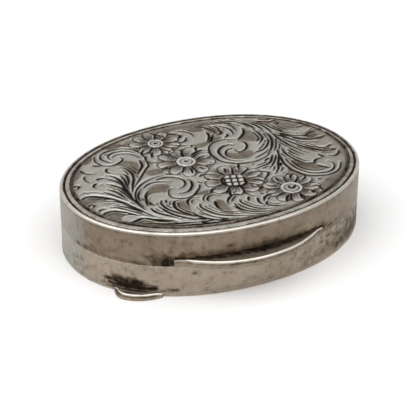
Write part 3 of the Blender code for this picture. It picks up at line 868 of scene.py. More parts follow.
SCROLL_3 = [
    (.3, [(4, 7.9), (3.3, 7.3), (2.8, 6.3), (2.4, 5.2), (2.4, 4.1), (2.5, 2.8), (2.9, 1.8), (3.7, .9),
          (4.7, .1), (6, -.3), (7.5, -.55), (9, -.3), (10.2, .2), (11.2, .9)]),
    (.28, [(7.1, 6.1), (6.7, 6.5), (5.8, 6.55), (4.8, 6.1), (4, 5.3), (3.7, 4.4), (3.7, 3.3), (4, 2.2),
           (4.8, 1.1), (5.8, .5)]),
    (.28, [(8.8, 7.1), (9.3, 6.3), (9.3, 5.4), (9, 4.7), (8.3, 3.9), (7.4, 3.5), (6.7, 3.4)]),
    (.2, [(4, 8), (4.9, 8.5), (6.1, 8.6), (7.4, 8.4), (8.5, 7.6)]),
    (.22, [(6.4, 5.2), (5.6, 5), (4.9, 4.4), (4.5, 3.5), (4.6, 2.6), (5, 1.9)]),
    (.2, [(7.3, 3.4), (6.7, 3.9), (6.6, 4.7)]),
    (.15, [(8.3, .5), (9.7, 1), (10.8, 1.5), (11.7, 2.2)]),
    (.15, [(9.1, 2.1), (10, 2.4), (11.2, 2.7)]),
]
RIGHT_FAN = [
    (.28, [(12.9, 9.5), (13.05, 8.4), (13, 7.3), (12.8, 6.3), (12.1, 5.4), (11.1, 4.5)]),
    (.3, [(14, 8.2), (14.2, 7.1), (14.1, 6), (13.8, 4.9), (13.2, 3.7), (12.4, 2.5), (11.7, 1.7),
          (10.7, .8)]),
    (.2, [(13.4, 5.9), (13.1, 4.8), (12.3, 3.7), (11.3, 2.8), (10.2, 2.2), (9.2, 2.2)]),
    (.3, [(15, 6.8), (15, 5.1), (15.2, 3.4), (15.4, 2), (15.8, .7), (16.2, -.7), (16.7, -1.7)]),
    (.22, [(14.9, 1.2), (15.1, .1), (15.4, -1), (15.7, -1.9)]),
    (.22, [(14.4, .7), (14.5, -.4), (14.9, -1.9)]),
    (.28, [(13.7, 1.4), (13.4, .1), (13.4, -1.3), (13.7, -2.7), (14.1, -3.9), (14.7, -4.8), (16, -5.2)]),
    (.35, [(16, 5.9), (16.3, 4.8), (16.8, 3.7), (17.4, 2.7), (18, 1.9)]),
    (.3, [(15.7, 4.5), (16, 3.4), (16.5, 2), (17.1, .7), (17.9, -.4), (18.8, -1.8), (19.5, -2.5),
          (20.7, -2.9)]),
    (.2, [(19.3, 4.2), (20.7, 4.9), (21.8, 5.4)]),
    (.15, [(19.5, 3.8), (20.9, 4.4), (21.9, 4.8)]),
    (.25, [(20.1, 2.1), (21.3, 1.9), (22.5, 2.3)]),
    (.2, [(20.7, -1.4), (21.8, -1)]),
    (.35, [(18.1, -3), (18.2, -3.8), (18.3, -4.3)]),
    (.2, [(21.7, -3.4), (21.2, -4.2), (20.1, -4.7), (19.3, -4.2)]),
    (.2, [(20.9, -2.7), (21.3, -2.4), (21.3, -3)]),
    (.3, [(16.5, 7.4), (17.3, 7.2)]),
    (.26, [(14.9, 7.3), (16, 5), (17.4, 2.7), (18.8, 1.4), (20.1, .9)]),
    (.26, [(15.6, 7.3), (16.9, 5), (18.5, 3.2), (20.1, 2.3), (21.8, 2.1)]),
    (.28, [(17.4, .3), (18.5, -1.1), (19.7, -2.4), (21.1, -2.9)]),
    (.2, [(19, -.4), (19.9, -1.3), (21.1, -1.5)]),
    (.18, [(16.9, 9.9), (18.1, 10.5)]),
    (.18, [(17.3, 9.5), (18.2, 10.3)]),
    (.18, [(19.8, 6.9), (21.1, 7.1)]),
]
SCROLL_4 = [
    (.32, [(12.8, 1.3), (12.2, -.3), (11.9, -1.5), (11.5, -3), (11.4, -4.4), (11.5, -5.7), (12, -6.9),
           (12.5, -8), (13.2, -8.8), (14.2, -9.4), (15.7, -9.8), (17, -9.7), (18.1, -9.2), (19.1, -8.2),
           (19.8, -7.1)]),
    (.28, [(12.5, -2), (12.3, -3), (12.3, -4.2), (12.4, -5.5), (12.9, -6.8), (13.5, -7.8), (14.5, -8.5),
           (15.7, -8.9), (16.8, -8.9), (17.8, -8.3), (18.4, -7.4), (18.5, -6.4), (18.2, -5.8)]),
    (.3, [(13, -3), (13, -4.2), (13.1, -5.3), (13.5, -6.4), (14.3, -7.3), (15.2, -7.8), (16, -7.8)]),
    (.3, [(16, -6.2), (16.5, -6.9), (16.9, -7.4), (17.2, -7.9)]),
    (.25, [(16, -5.3), (16.4, -4.7), (17.1, -4.4), (17.9, -4.3)]),
]
CENTRE_RIGHT_FAN = [
    (.25, [(10.2, -.5), (9.5, -.9), (9, -1.2)]),
    (.28, [(11.2, .1), (10.5, -.9), (9.8, -1.8), (8.9, -2.3), (7.8, -2.5), (6.4, -2.8)]),
    (.22, [(11.7, -.2), (10.9, -1.4), (10, -2.4), (9.2, -3.2), (8.5, -3.7)]),
    (.28, [(12, -.5), (11.3, -1.8), (10.5, -3), (9.9, -4.2), (9.1, -5.1), (8.4, -5.8)]),
    (.35, [(11.1, -2.8), (10.8, -3.3), (10.5, -3.9)]),
]
FLOWER_D = [
    (.3, [(6.8, -10.6), (6.8, -11.1), (7, -11.9)]),
    (.4, [(7.5, -12.3), (7.9, -12.4), (8.4, -12.3)]),
    (.3, [(8.3, -10.1), (8.2, -10.7), (8.5, -11), (9.1, -10.7), (9.5, -10.2)]),
    (.22, [(7.8, -6.8), (7.7, -7.5), (7.7, -8.2)]),
    (.2, [(5.4, -8.3), (5.9, -8.9), (6.7, -9.2)]),
    (.25, [(9.8, -8.1), (10.2, -7.5), (11, -6.8)]),
    (.3, [(10.2, -6.5), (10.3, -7.1)]),
    (.2, [(11.2, -9.4), (12, -9), (12.4, -8.3)]),
    (.3, [(11.8, -11.9), (12.4, -12.1), (12.5, -13), (12.4, -14.4)]),
    (.4, [(10.8, -13.2), (10.8, -14)]),
    (.3, [(8.6, -13.4), (8.3, -14.4), (8.4, -15.2)]),
    (.3, [(6.9, -12.7), (6.1, -13.5), (5.5, -14.4)]),
]
LOWER_EDGE = [
    (.45, [(-18.6, -9.6), (-17.8, -10.4), (-16.6, -11.3), (-15.2, -12.2), (-13.8, -12.9), (-12.2, -13.6),
           (-10.4, -14.2), (-8.4, -14.8), (-6, -15.3), (-3.5, -15.7), (-1, -15.9)]),
    (.3, [(-17.1, -10.1), (-15.7, -11), (-14.2, -11.9), (-12.6, -12.6), (-10.8, -13.2), (-8.8, -13.9),
          (-6.4, -14.5), (-4, -15.1)]),
    (.25, [(-14.9, -9.9), (-13.8, -10.8), (-12.6, -11.6), (-11.2, -12.4), (-9.6, -13)]),
    (.25, [(-1.9, -11.2), (-2, -12.3), (-1.6, -13.6), (-.6, -14.7), (.8, -15.4), (2.6, -15.7)]),
]
REAR_FRONDS = [
    (.28, [(-10.2, 13.4), (-11.5, 13.5), (-12.8, 13.3), (-14, 12.7)]),
    (.3, [(4.6, 15), (5.6, 14.4), (6.3, 13.4), (6.7, 12.2), (6.6, 11.2)]),
    (.28, [(5.4, 12.3), (5.2, 11), (4.6, 9.9), (3.9, 9.2)]),
    (.28, [(6.9, 14.7), (7.5, 13.8), (7.8, 12.6), (7.5, 11.5)]),
    (.25, [(8.5, 15), (9.4, 14.2), (10.2, 13.1), (10.6, 11.8)]),
    (.25, [(10.4, 14.6), (11.3, 13.9), (12, 13), (12.4, 12), (12.5, 10.8)]),
    (.3, [(12.6, 12.8), (12.9, 11.6), (13.1, 10.4), (13, 9.5)]),
    (.3, [(13.4, 12.2), (14, 10.9), (14.2, 9.6), (14.1, 8.4)]),
    (.3, [(14.1, 12.1), (14.8, 10.8), (15.1, 9.4), (15.1, 8), (15, 6.8)]),
    (.3, [(14.9, 11.9), (15.6, 10.6), (15.9, 9.2), (16.2, 8), (16.9, 6.6), (18.1, 5.5), (19.4, 5.1)]),
    (.25, [(14.7, 12.4), (15.7, 11.6), (16.7, 11.1), (17.7, 11), (18.3, 10.7)]),
    (.28, [(16.4, 6.4), (17.4, 5.1), (18.7, 4.1), (20.2, 3.5), (21.7, 3.3)]),
    (.25, [(17.3, 4), (18.2, 2.9), (19.4, 2.1), (20.1, 2.1)]),
    (.25, [(-.5, 14.8), (.3, 14.1), (.7, 13.7)]),
    (.2, [(-3.2, 15.6), (-2.4, 15), (-1.9, 14.2), (-1.8, 13.4)]),
    (.2, [(-1.4, 15.9), (-.8, 15.2), (-.5, 14.3)]),
    (.25, [(-9.6, 14.8), (-9, 14), (-8.2, 13.4)]),
]
FANS = (LEFT_FAN_UP + LEFT_FAN_DOWN + SMALL_LEAF + BOTTOM_LEAVES + RIGHT_FAN + CENTRE_RIGHT_FAN + LOWER_EDGE
        + REAR_FRONDS)
SCROLLS = SCROLL_1 + SCROLL_2 + SCROLL_3 + SCROLL_4
CUTS = FANS + SCROLLS + STEM_1 + FLOWER_B + FLOWER_C + FLOWER_D + TOP_FRONDS

# Round pricks: where, and their radius.
PRICKS = [((-17.8, 3.5), .12), ((3.4, -10.4), .25), ((.95, 2.2), .15), ((-3.2, 16.1), .2), ((7.2, 7.8), .18),
          ((6.8, -1.2), .17), ((9.8, -6), .15), ((13.9, -10.3), .25)]

# Raised lines left between the cuts, given a painted highlight along them.
RIDGES = [
    (.3, [(-22.5, .9), (-21.8, 1.3), (-21, 1.4), (-20.1, 1.1), (-19.2, .5), (-18.4, -.4), (-17.7, -1.2),
          (-17.1, -2.2), (-16.5, -3.3), (-16, -4.8), (-15.5, -6.2), (-15.1, -7.5), (-14.5, -9)]),
    (.3, [(-21.7, -5), (-20.8, -4.4), (-19.9, -4.3), (-19.1, -4.5), (-18.2, -5.3), (-17.5, -6.1),
          (-16.9, -7), (-16, -8), (-15, -9)]),
    (.3, [(-19.5, -8.1), (-18.8, -7.4), (-17.8, -7.4), (-17.1, -8), (-16.2, -8.7), (-15.1, -9.4)]),
    (.25, [(-18.7, -9), (-18, -8.7), (-17.3, -8.8)]),
    (.35, [(-14.9, -6.8), (-14.5, -8.1), (-13.8, -9.5), (-12.9, -10.7), (-12, -11.8), (-10.7, -12.9),
           (-9, -13.7)]),
    (.3, [(-15, -3), (-14.7, -1.8), (-14, -.7), (-13.1, .4), (-12, 1.3), (-10.9, 2), (-10, 2.2),
          (-8.9, 2.3), (-8, 2.3)]),
    (.28, [(-12.2, -.8), (-11.2, -.2), (-10.2, 0), (-9.3, -.3), (-8.4, -.9)]),
    (.25, [(-13.4, -4.4), (-12.6, -3.3), (-11.4, -3), (-10.2, -3.4), (-9.9, -4.2)]),
    (.25, [(-3.2, -1.4), (-2.3, -2.9), (-1, -4)]),
    (.25, [(-4, -5), (-2.3, -5.4)]),
    (.4, [(5.2, 4.3), (6, 4.7)]),
    (.25, [(19.2, 4.1), (20.5, 4.8), (21.9, 5.6)]),
    (.2, [(20, 6.6), (20.1, 5.6), (20.4, 4.9)]),
    (.25, [(6.9, 14.6), (8, 13.6), (8.3, 12.4)]),
    (.3, [(-16.2, 6.2), (-15, 5.8), (-14.3, 4.6), (-14.1, 3)]),
    (.3, [(-18.3, 3.9), (-17, 3.9), (-15.9, 3.1), (-15.3, 2)]),
    (.25, [(-4.9, 1.4), (-4.2, 0), (-4.1, -1.6), (-4.4, -2.9)]),
]

# Flower hearts: centre, ring radius and ring width.
RINGS = [((-2.4, 4.4), 1.35, .5), ((-4.05, 12.4), 1.15, .4), ((8.4, -10.9), 1.5, .5)]
HEARTS = [((-2.3, 4.6), .3), ((-4.0, 12.5), .3)]
BOSS, BOSS_RADIUS, BOSS_BEARING = (1.65, -4.6), 1.85, math.radians(-19)
BOSS_PITCH = (1.05, 1.22)  # along the rows of squares, and from row to row

# Petals: flower centre, first bearing, petal count, and how near and how far a petal reaches.
PETALS = [((-2.4, 4.4), 12, 9, 1.9, 5.0), ((-4.05, 12.4), 5, 9, 1.6, 4.5), ((8.4, -10.9), 20, 9, 2.1, 4.7),
          ((1.6, -4.6), 8, 9, 2.5, 5.2)]

# Sunk and hatched ground between the leaves.
GROUND = [
    [(-11.1, 9.2), (-9.6, 7.9), (-9.7, 6.3), (-10.3, 5.2), (-11.4, 3.8), (-11.9, 3.4), (-11.9, 5.2),
     (-12.1, 6.3), (-12.3, 7.5), (-13, 8.4), (-11.6, 8.8)],
    [(-9.4, 4.3), (-8.2, 4.5), (-7.1, 4.0), (-7.3, 2.5), (-9.4, 2.5), (-10, 3.4)],
    [(-8.5, 7.9), (-7.1, 6.8), (-7.5, 6.1), (-8.2, 6.3)],
    [(-12.1, 14.7), (-9.8, 15.4), (-8.9, 14.5), (-10.3, 13.7), (-12.1, 13.9)],
    [(-20.9, 8.8), (-19.6, 10.4), (-18.6, 9.6), (-19.1, 8.2), (-20.2, 6.9), (-21.6, 6.2), (-21.8, 7.2)],
    [(-17.8, 12.1), (-15.7, 13.3), (-15.3, 12.2), (-16.4, 11), (-17.6, 10.7)],
    [(-.1, 14.7), (.8, 14.2), (1.3, 12.6), (.6, 12.4), (-.1, 13.5)],
    [(5.7, 13.8), (7, 13.5), (7.5, 11.7), (6.8, 10.6), (5.9, 11.7)],
    [(2.9, 14.5), (5.2, 14.9), (5.2, 13.1), (4.4, 12.9), (3.3, 13.4)],
    [(1.3, 9.0), (2.8, 9.1), (4.1, 9.2), (5.4, 10.1), (6.8, 9.6), (6.2, 8.7), (4.7, 8.3), (3.1, 7.8),
     (1.7, 7.6)],
    [(8.9, 7.6), (10, 8.6), (11.2, 9.6), (12.3, 9.4), (12.6, 7.1), (11.9, 5.5), (10.7, 5.8), (9.6, 6.5)],
    [(5, 3.9), (6.6, 3.3), (8.7, 3.2), (8.9, 1.8), (7.3, .9), (5.6, 1.2), (4.6, 2.5)],
    [(16, 8.9), (18.1, 9.9), (20.4, 7.9), (20.2, 6.9), (18.8, 6.9), (16.9, 7.3)],
    [(12.8, 13.4), (15.1, 12.3), (16.9, 11.3), (18.0, 10.5), (16, 10.3), (14.6, 10.8), (13.7, 11.9)],
    [(19.2, 4.1), (21.1, 5), (21.8, 4.1), (21.3, 2.7), (19.7, 2.3)],
    [(-9, 14.6), (-5, 15.9), (0, 16.4), (6, 15.8), (11.5, 14.2), (10.8, 13.6), (6, 14.6), (3.6, 14.6),
     (1, 15.4), (-1.5, 14.6), (-6, 14.4), (-8.6, 13.6)],
    [(-13.4, -2.9), (-12.6, -1.9), (-11.6, -1), (-10.3, -.4), (-9.2, -.5), (-8.4, -1.1), (-8.5, -2.3),
     (-9.6, -3.4), (-11.2, -3.1), (-12.3, -3.3), (-13.2, -4.7), (-13.6, -6), (-14.2, -6), (-14.1, -4.4)],
    [(-9.6, -7), (-8.4, -6.9), (-7.2, -6.8), (-8, -7.6), (-8.5, -9.2), (-8.9, -10.8), (-9.4, -11.3),
     (-9.8, -9.7), (-9.9, -8.1)],
    [(-4.8, -9.5), (-3.5, -9), (-3, -9.9), (-3.2, -11.7), (-3.2, -13.2), (-3.7, -14), (-4.8, -12.9),
     (-5, -11.3)],
    [(-22.5, -.2), (-21.5, .6), (-20.5, .5), (-18.9, -.5), (-18.2, -1.6), (-20.5, -1.3), (-22.3, -1.9)],
    [(-21.4, -5.6), (-20.4, -5.1), (-19.2, -5.3), (-18.2, -6.5), (-18, -7), (-19.1, -7.5), (-19.8, -8.3),
     (-21, -6.7)],
    [(-18.7, -9.7), (-17.1, -9.5), (-15.5, -10.5), (-13.5, -12.1), (-11.2, -13.4), (-9, -14.5),
     (-10.8, -14.3), (-13.9, -13.1), (-16.6, -11.5), (-18.3, -10.3)],
    [(-6.2, -5.9), (-4.1, -5.5), (-3, -5.7), (-3.5, -7), (-5, -6.8)],
    [(12.8, -2.9), (13.6, -3.1), (14.2, -4.2), (15.1, -5), (16.4, -5.3), (16, -5.9), (16.6, -7),
     (17.1, -7.9), (15.6, -8), (14.4, -7.4), (13.5, -6.3), (12.9, -4.6)],
    [(13.0, -12.4), (14.2, -11.2), (15.6, -10.5), (17.4, -10.2), (19.3, -9.2), (20.9, -7.2), (21.7, -5.2),
     (21.2, -7.9), (19.3, -10.6), (17.4, -12.1), (15.1, -13.3), (13.3, -13.5)],
    [(16.9, .3), (18.3, .4), (19.5, -.8), (20.9, -1.9), (21.1, -2.8), (19.7, -2.7), (18.5, -1.9),
     (17.4, -.8)],
    [(4.3, -5.9), (5.9, -5.9), (5.7, -7), (5, -6.6)],
    [(9.6, -6.6), (10.5, -6), (11.3, -5), (11.8, -6.6), (12.6, -8.2), (12.2, -8.9), (11.4, -7.6),
     (10.3, -7.6)],
    [(3.4, -8.9), (4.5, -8.2), (5, -8.9), (3.8, -10), (3.1, -10.3)],
]

FIELD_INSET = 2.16  # where the engraved field starts, in from the lid's edge
FIELD_SHIFT = (0.22, 0.30)  # millimetres, to the right and to the hinge
FIELD_TOP = HEIGHT - 0.05
FIELD_GRID = (370, 262)  # columns and rows; the piece stays under 200,000 triangles
BORDER_TOP = HEIGHT - 0.02
CUT_DEPTH = 0.18  # the deepest that a cut goes
CUT_SLOPE = 0.95  # a graver's cut is about as deep as it is half wide
GROUND_DEPTH = 0.10
HATCH_RISE = 0.05  # how far the hatching's lines stand up from the sunk ground
LIT_SIDE = (-0.35, 0.94)  # each cut gets a painted highlight on this side, and painted shade on the other
HATCH_PITCH = 0.36
HATCH_BEARING = math.radians(60)
CELL = 0.05  # the drawing board's squares

# Lines that echo a fan's cuts: offset to a side, width, and the shortest cut that gets one. Then fine ones.
ECHOES = [(0.64, 0.26, 3.2), (-0.64, 0.24, 5.0), (1.25, 0.2, 8.0)]
FINE_ECHOES = [(0.34, 0.12, 4.5), (-0.34, 0.12, 4.5)]


def smooth_curve(places, closed=False, step=0.06):
    """Points every step along a smooth curve through these places."""
    places = np.array(places, float)
    if closed:
        before, after = places[-1:], places[:2]
    else:
        before, after = 2 * places[:1] - places[1:2], 2 * places[-1:] - places[-2:-1]
    knots = np.concatenate([before, places, after])
    parts = []
    for p0, p1, p2, p3 in zip(knots, knots[1:], knots[2:], knots[3:]):
        count = max(2, int(np.hypot(*(p2 - p1)) / step))
        s = (np.arange(count) / count)[:, None]
        parts.append(0.5 * (2 * p1 + (p2 - p0) * s + (2 * p0 - 5 * p1 + 4 * p2 - p3) * s ** 2
                            + (3 * p1 - p0 - 3 * p2 + p3) * s ** 3))
    if not closed:
        parts.append(places[-1:])
    return np.concatenate(parts)


class Board:
    """A drawing board over the plate.

    cut, ridge, fine and pending hold each square's distance from the nearest such line, below 0 inside it;
    ground, petal and shade hold shares from 0 to 1.
    """

    def __init__(self):
        self.x = np.arange(-HALF_LENGTH, HALF_LENGTH + CELL, CELL)
        self.y = np.arange(-HALF_WIDTH, HALF_WIDTH + CELL, CELL)
        shape = (len(self.y), len(self.x))
        self.cut, self.ridge, self.fine, self.pending = (np.full(shape, 1.0) for _ in range(4))
        self.ground, self.petal, self.shade = np.zeros(shape), np.zeros(shape), np.zeros(shape)

    def window(self, low, high):
        """The slices of the board between two corners."""
        squares = ((np.array([low, high]) + (HALF_LENGTH, HALF_WIDTH)) / CELL).astype(int)
        (left, front), (right, rear) = np.clip(squares + np.array([[0], [2]]), 0, None)
        return slice(front, rear), slice(left, right)

    def distances(self, window, x, y):
        """How far each square of a window is from a place."""
        rows, columns = window
        return np.hypot(self.x[None, columns] - x, self.y[rows, None] - y)

    def stamp(self, layer, places, widths, reach=0.7):
        """Draws dots along a line, leaving the distance to their edge."""
        for (x, y), width in zip(places, widths):
            window = self.window((x - reach, y - reach), (x + reach, y + reach))
            layer[window] = np.minimum(layer[window], self.distances(window, x, y) - width / 2)

    def stroke(self, layer, width, places, blunt=0.45):
        """A line that swells from its tip and thins to its end."""
        line = smooth_curve(places)
        share = np.linspace(0, 1, len(line))
        swell = np.minimum(np.clip(blunt + share * 3, 0, 1), np.clip(0.6 * blunt + (1 - share) * 2, 0, 1))
        self.stamp(layer, line, width * swell)

    def echo(self, layer, width, places, offset, start, end):
        """A line beside a cut, drawn only where there is room for it."""
        line = smooth_curve(places)
        ahead = np.gradient(line, axis=0)
        ahead /= np.linalg.norm(ahead, axis=1, keepdims=True)
        share = np.linspace(0, 1, len(line))
        beside = line + np.stack([-ahead[:, 1], ahead[:, 0]], -1) * offset
        x, y = np.clip(beside.T, [[-HALF_LENGTH], [-HALF_WIDTH]], [[HALF_LENGTH], [HALF_WIDTH]])
        room = np.minimum(self.at(layer, x, y), self.at(self.ridge, x, y) + 0.1)
        keep = (share > start) & (share < end) & (room > width / 2 + 0.17)
        if keep.sum() > 8:
            swell = np.clip(np.minimum(share - start, end - share) * 6 + 0.4, 0, 1)
            self.stamp(self.pending, beside[keep], width * swell[keep], 0.4)

    def echo_all(self, layer, offset, width, shortest, start, end):
        """Echoes of the fans' cuts, drawn together on a layer so that none makes way for another."""
        self.pending[:] = 1.0
        for _, places in FANS:
            if np.hypot(*np.diff(places, axis=0).T).sum() > shortest:
                self.echo(self.cut, width, places, offset, start, end)
        layer[:] = np.minimum(layer, self.pending)

    def fill(self, layer, corners):
        """Fills a smooth closed outline."""
        outline = smooth_curve(corners, closed=True, step=0.3)
        window = self.window(outline.min(0) - 0.2, outline.max(0) + 0.2)
        x, y = np.meshgrid(self.x[window[1]], self.y[window[0]])
        inside = np.zeros(x.shape, bool)
        for (x0, y0), (x1, y1) in zip(outline, np.roll(outline, -1, 0)):
            if y0 != y1:
                crossing = (y0 > y) != (y1 > y)
                inside ^= crossing & (x < x0 + (y - y0) * (x1 - x0) / (y1 - y0))
        layer[window] = np.maximum(layer[window], inside)

    def at(self, layer, x, y):
        """The board's value at any places, blended between its squares."""
        column, row = (x + HALF_LENGTH) / CELL, (y + HALF_WIDTH) / CELL
        i, j = np.floor(row).astype(int), np.floor(column).astype(int)
        i, j = np.clip(i, 0, len(self.y) - 2), np.clip(j, 0, len(self.x) - 2)
        fy, fx = row - i, column - j
        return (layer[i, j] * (1 - fy) * (1 - fx) + layer[i, j + 1] * (1 - fy) * fx
                + layer[i + 1, j] * fy * (1 - fx) + layer[i + 1, j + 1] * fy * fx)


def soften(layer, passes):
    """Blurs a layer over its neighbours."""
    for _ in range(passes):
        layer = (layer + np.roll(layer, 1, 0) + np.roll(layer, -1, 0)) / 3
        layer = (layer + np.roll(layer, 1, 1) + np.roll(layer, -1, 1)) / 3
    return layer


def circle(heart, radius, turns):
    """Points round a place."""
    return np.array(heart) + radius * np.stack([np.cos(turns), np.sin(turns)], -1)


def draw_engraving():
    """The whole design on a board."""
    board = Board()
    for width, places in CUTS:
        board.stroke(board.cut, 1.2 * width + 0.10, places)
    for width, places in SCROLLS:
        board.stroke(board.cut, 0.8 * width + 0.08, places, 0.9)
    for width, places in RIDGES:
        board.stroke(board.ridge, width, places)
    for place, radius in PRICKS + HEARTS:
        board.stamp(board.cut, [place], [2 * radius])
    draw_boss(board)
    turns = np.linspace(0, FULL_TURN, 80)
    for heart, radius, width in RINGS:
        board.stamp(board.ridge, circle(heart, radius, turns), np.full(len(turns), width))
        for gap in (-1, 1):
            line = circle(heart, radius + gap * width * 0.62, turns)
            board.stamp(board.cut, line, 0.06 + 0.16 * (0.5 - 0.5 * np.sin(turns + 0.6 * gap)))
    for flower in PETALS:
        draw_petals(board, *flower)
    for corners in GROUND:
        board.fill(board.ground, corners)
    for echoes in ECHOES:
        board.echo_all(board.cut, *echoes, 0.08, 0.85)
    for echoes in FINE_ECHOES:
        board.echo_all(board.fine, *echoes, 0.2, 0.8)
    return board


def draw_boss(board):
    """A round boss scored into squares, each left bright and proud."""
    along = np.array([math.cos(BOSS_BEARING), math.sin(BOSS_BEARING)])
    across = np.array([-along[1], along[0]])
    heart = np.array(BOSS)
    for k in (-1.5, -0.5, 0.5, 1.5):
        for first, second, pitch, width in ((along, across, BOSS_PITCH[1], 0.46),
                                            (across, along, BOSS_PITCH[0], 0.28)):
            reach = math.sqrt(max(0.5, BOSS_RADIUS ** 2 - (k * pitch) ** 2))
            middle = heart + second * k * pitch
            board.stroke(board.cut, width, [middle - first * reach, middle, middle + first * reach], 0.9)
    for i in (-1, 0, 1):
        for j in (-1, 0, 1):
            middle = heart + along * i * BOSS_PITCH[0] + across * j * BOSS_PITCH[1]
            board.stamp(board.ridge, [middle - 0.08 * across, middle + 0.08 * across], [0.42, 0.42])
    turns = np.linspace(0, FULL_TURN, 90)
    widths = 0.10 + 0.20 * (0.5 + 0.5 * np.cos(turns - 3.6))
    board.stamp(board.cut, circle(heart, BOSS_RADIUS + 0.05, turns), widths)


def draw_petals(board, heart, first, count, near, longest):
    """Petals round a flower's heart, each with fine veins, and a notch cut between neighbours."""
    for k in range(count):
        far = longest * (0.96 + 0.04 * math.sin(2.4 * k + first))
        bearing = math.radians(first + 360 * k / count + 3.0 * math.sin(1.7 * k + first))
        out = np.array([math.cos(bearing), math.sin(bearing)])
        side = np.array([-out[1], out[0]])
        half = math.pi * (near + far) / 2 / count * 0.92
        one_side = [(0.9 * near, 0.35), ((near + far) / 2, 1.0), (0.93 * far, 0.75)]
        outline = [heart + out * away - side * half * share for away, share in one_side]
        outline += [heart + out * far]
        outline += [heart + out * away + side * half * share for away, share in one_side[::-1]]
        board.fill(board.petal, outline)
        for lean in (-0.5, 0, 0.5):
            start = heart + out * near * 0.92 + side * half * lean * 0.5
            end = heart + out * (near + (far - near) * (0.50 if lean else 0.68)) + side * half * lean
            board.stroke(board.fine, 0.16, [start, (start + end) / 2 + side * 0.03, end], 0.5)
        tip = smooth_curve(outline[1:6])
        board.stamp(board.cut, tip, np.full(len(tip), 0.17), 0.4)
        gap = bearing + math.pi / count
        away = np.array([math.cos(gap), math.sin(gap)])
        notch = [heart + away * near * 0.9, heart + away * (near + (far - near) * 0.72)]
        board.stroke(board.cut, 0.34, notch, 0.6)
    x, y = heart
    window = board.window((x - longest, y - longest), (x + longest, y + longest))
    away = board.distances(window, x, y)
    outside_heart = away > near * 0.8
    shade = np.clip(1 - (away - near) / (0.85 * (longest - near)), 0, 1)
    board.shade[window] = np.maximum(board.shade[window], shade * outside_heart)
    board.ground[window] = np.maximum(board.ground[window], 0.9 * (away < longest * 0.93) * outside_heart)


def shift_field(points, depth_in):
    """Carries the engraved field a little off the oval's middle, as the photograph shows it."""
    share = np.clip((depth_in - 0.95) / 0.75, 0, 1)
    points[:, 0] += FIELD_SHIFT[0] * share
    points[:, 1] += FIELD_SHIFT[1] * share


def burr_height(cut, away, width):
    """The lip that a graver throws up beside a cut, from 0 to 1; its crest is this far from the cut."""
    return np.exp(-((cut - away) / width) ** 2)


def build_border():
    """The turned border round the engraved field, with its groove."""
    top, inset, sunk = BORDER_TOP, PLATE_INSET, PLATE_LOW[2]
    profile = [(inset, sunk), (inset, top - 0.25), (inset + 0.05, top - 0.13), (inset + 0.12, top - 0.03)]
    profile += straight((inset + 0.12, top - 0.03), (inset + 0.56, top), 8)
    profile += [(inset + 0.60, top - 0.02), (inset + 0.68, top - 0.10), (inset + 0.79, top - 0.20),
                (inset + 0.95, top - 0.26), (inset + 1.10, top - 0.24), (inset + 1.22, top - 0.15),
                (FIELD_INSET - 0.04, FIELD_TOP), (FIELD_INSET, FIELD_TOP - 0.01), (FIELD_INSET, sunk)]
    points, faces = wall_points(profile)
    row = np.repeat(np.arange(len(profile)), AROUND)
    shift_field(points, np.repeat([inset for inset, _ in profile], AROUND))
    groove = 0.82 * np.clip((top - points[:, 2] - 0.01) / 0.07, 0, 1)
    worn = 0.25 * ripple(points, 2.5, 41) + patch_mark(points, 15, HEIGHT, 60, 5, 0.25, 46)
    # The border's top, rubbed bright and given a painted highlight, in uneven patches.
    edge = ((row >= 4) & (row <= 11)) * (0.1 + 0.4 * ripple(points, 5, 42))
    make_piece("lid_border", points, [face[::-1] for face in faces], RIM_SILVER, "lid", (),
               {"stain_and_shade": worst(groove, worn * (row > 2)), "edge": edge}, 60)


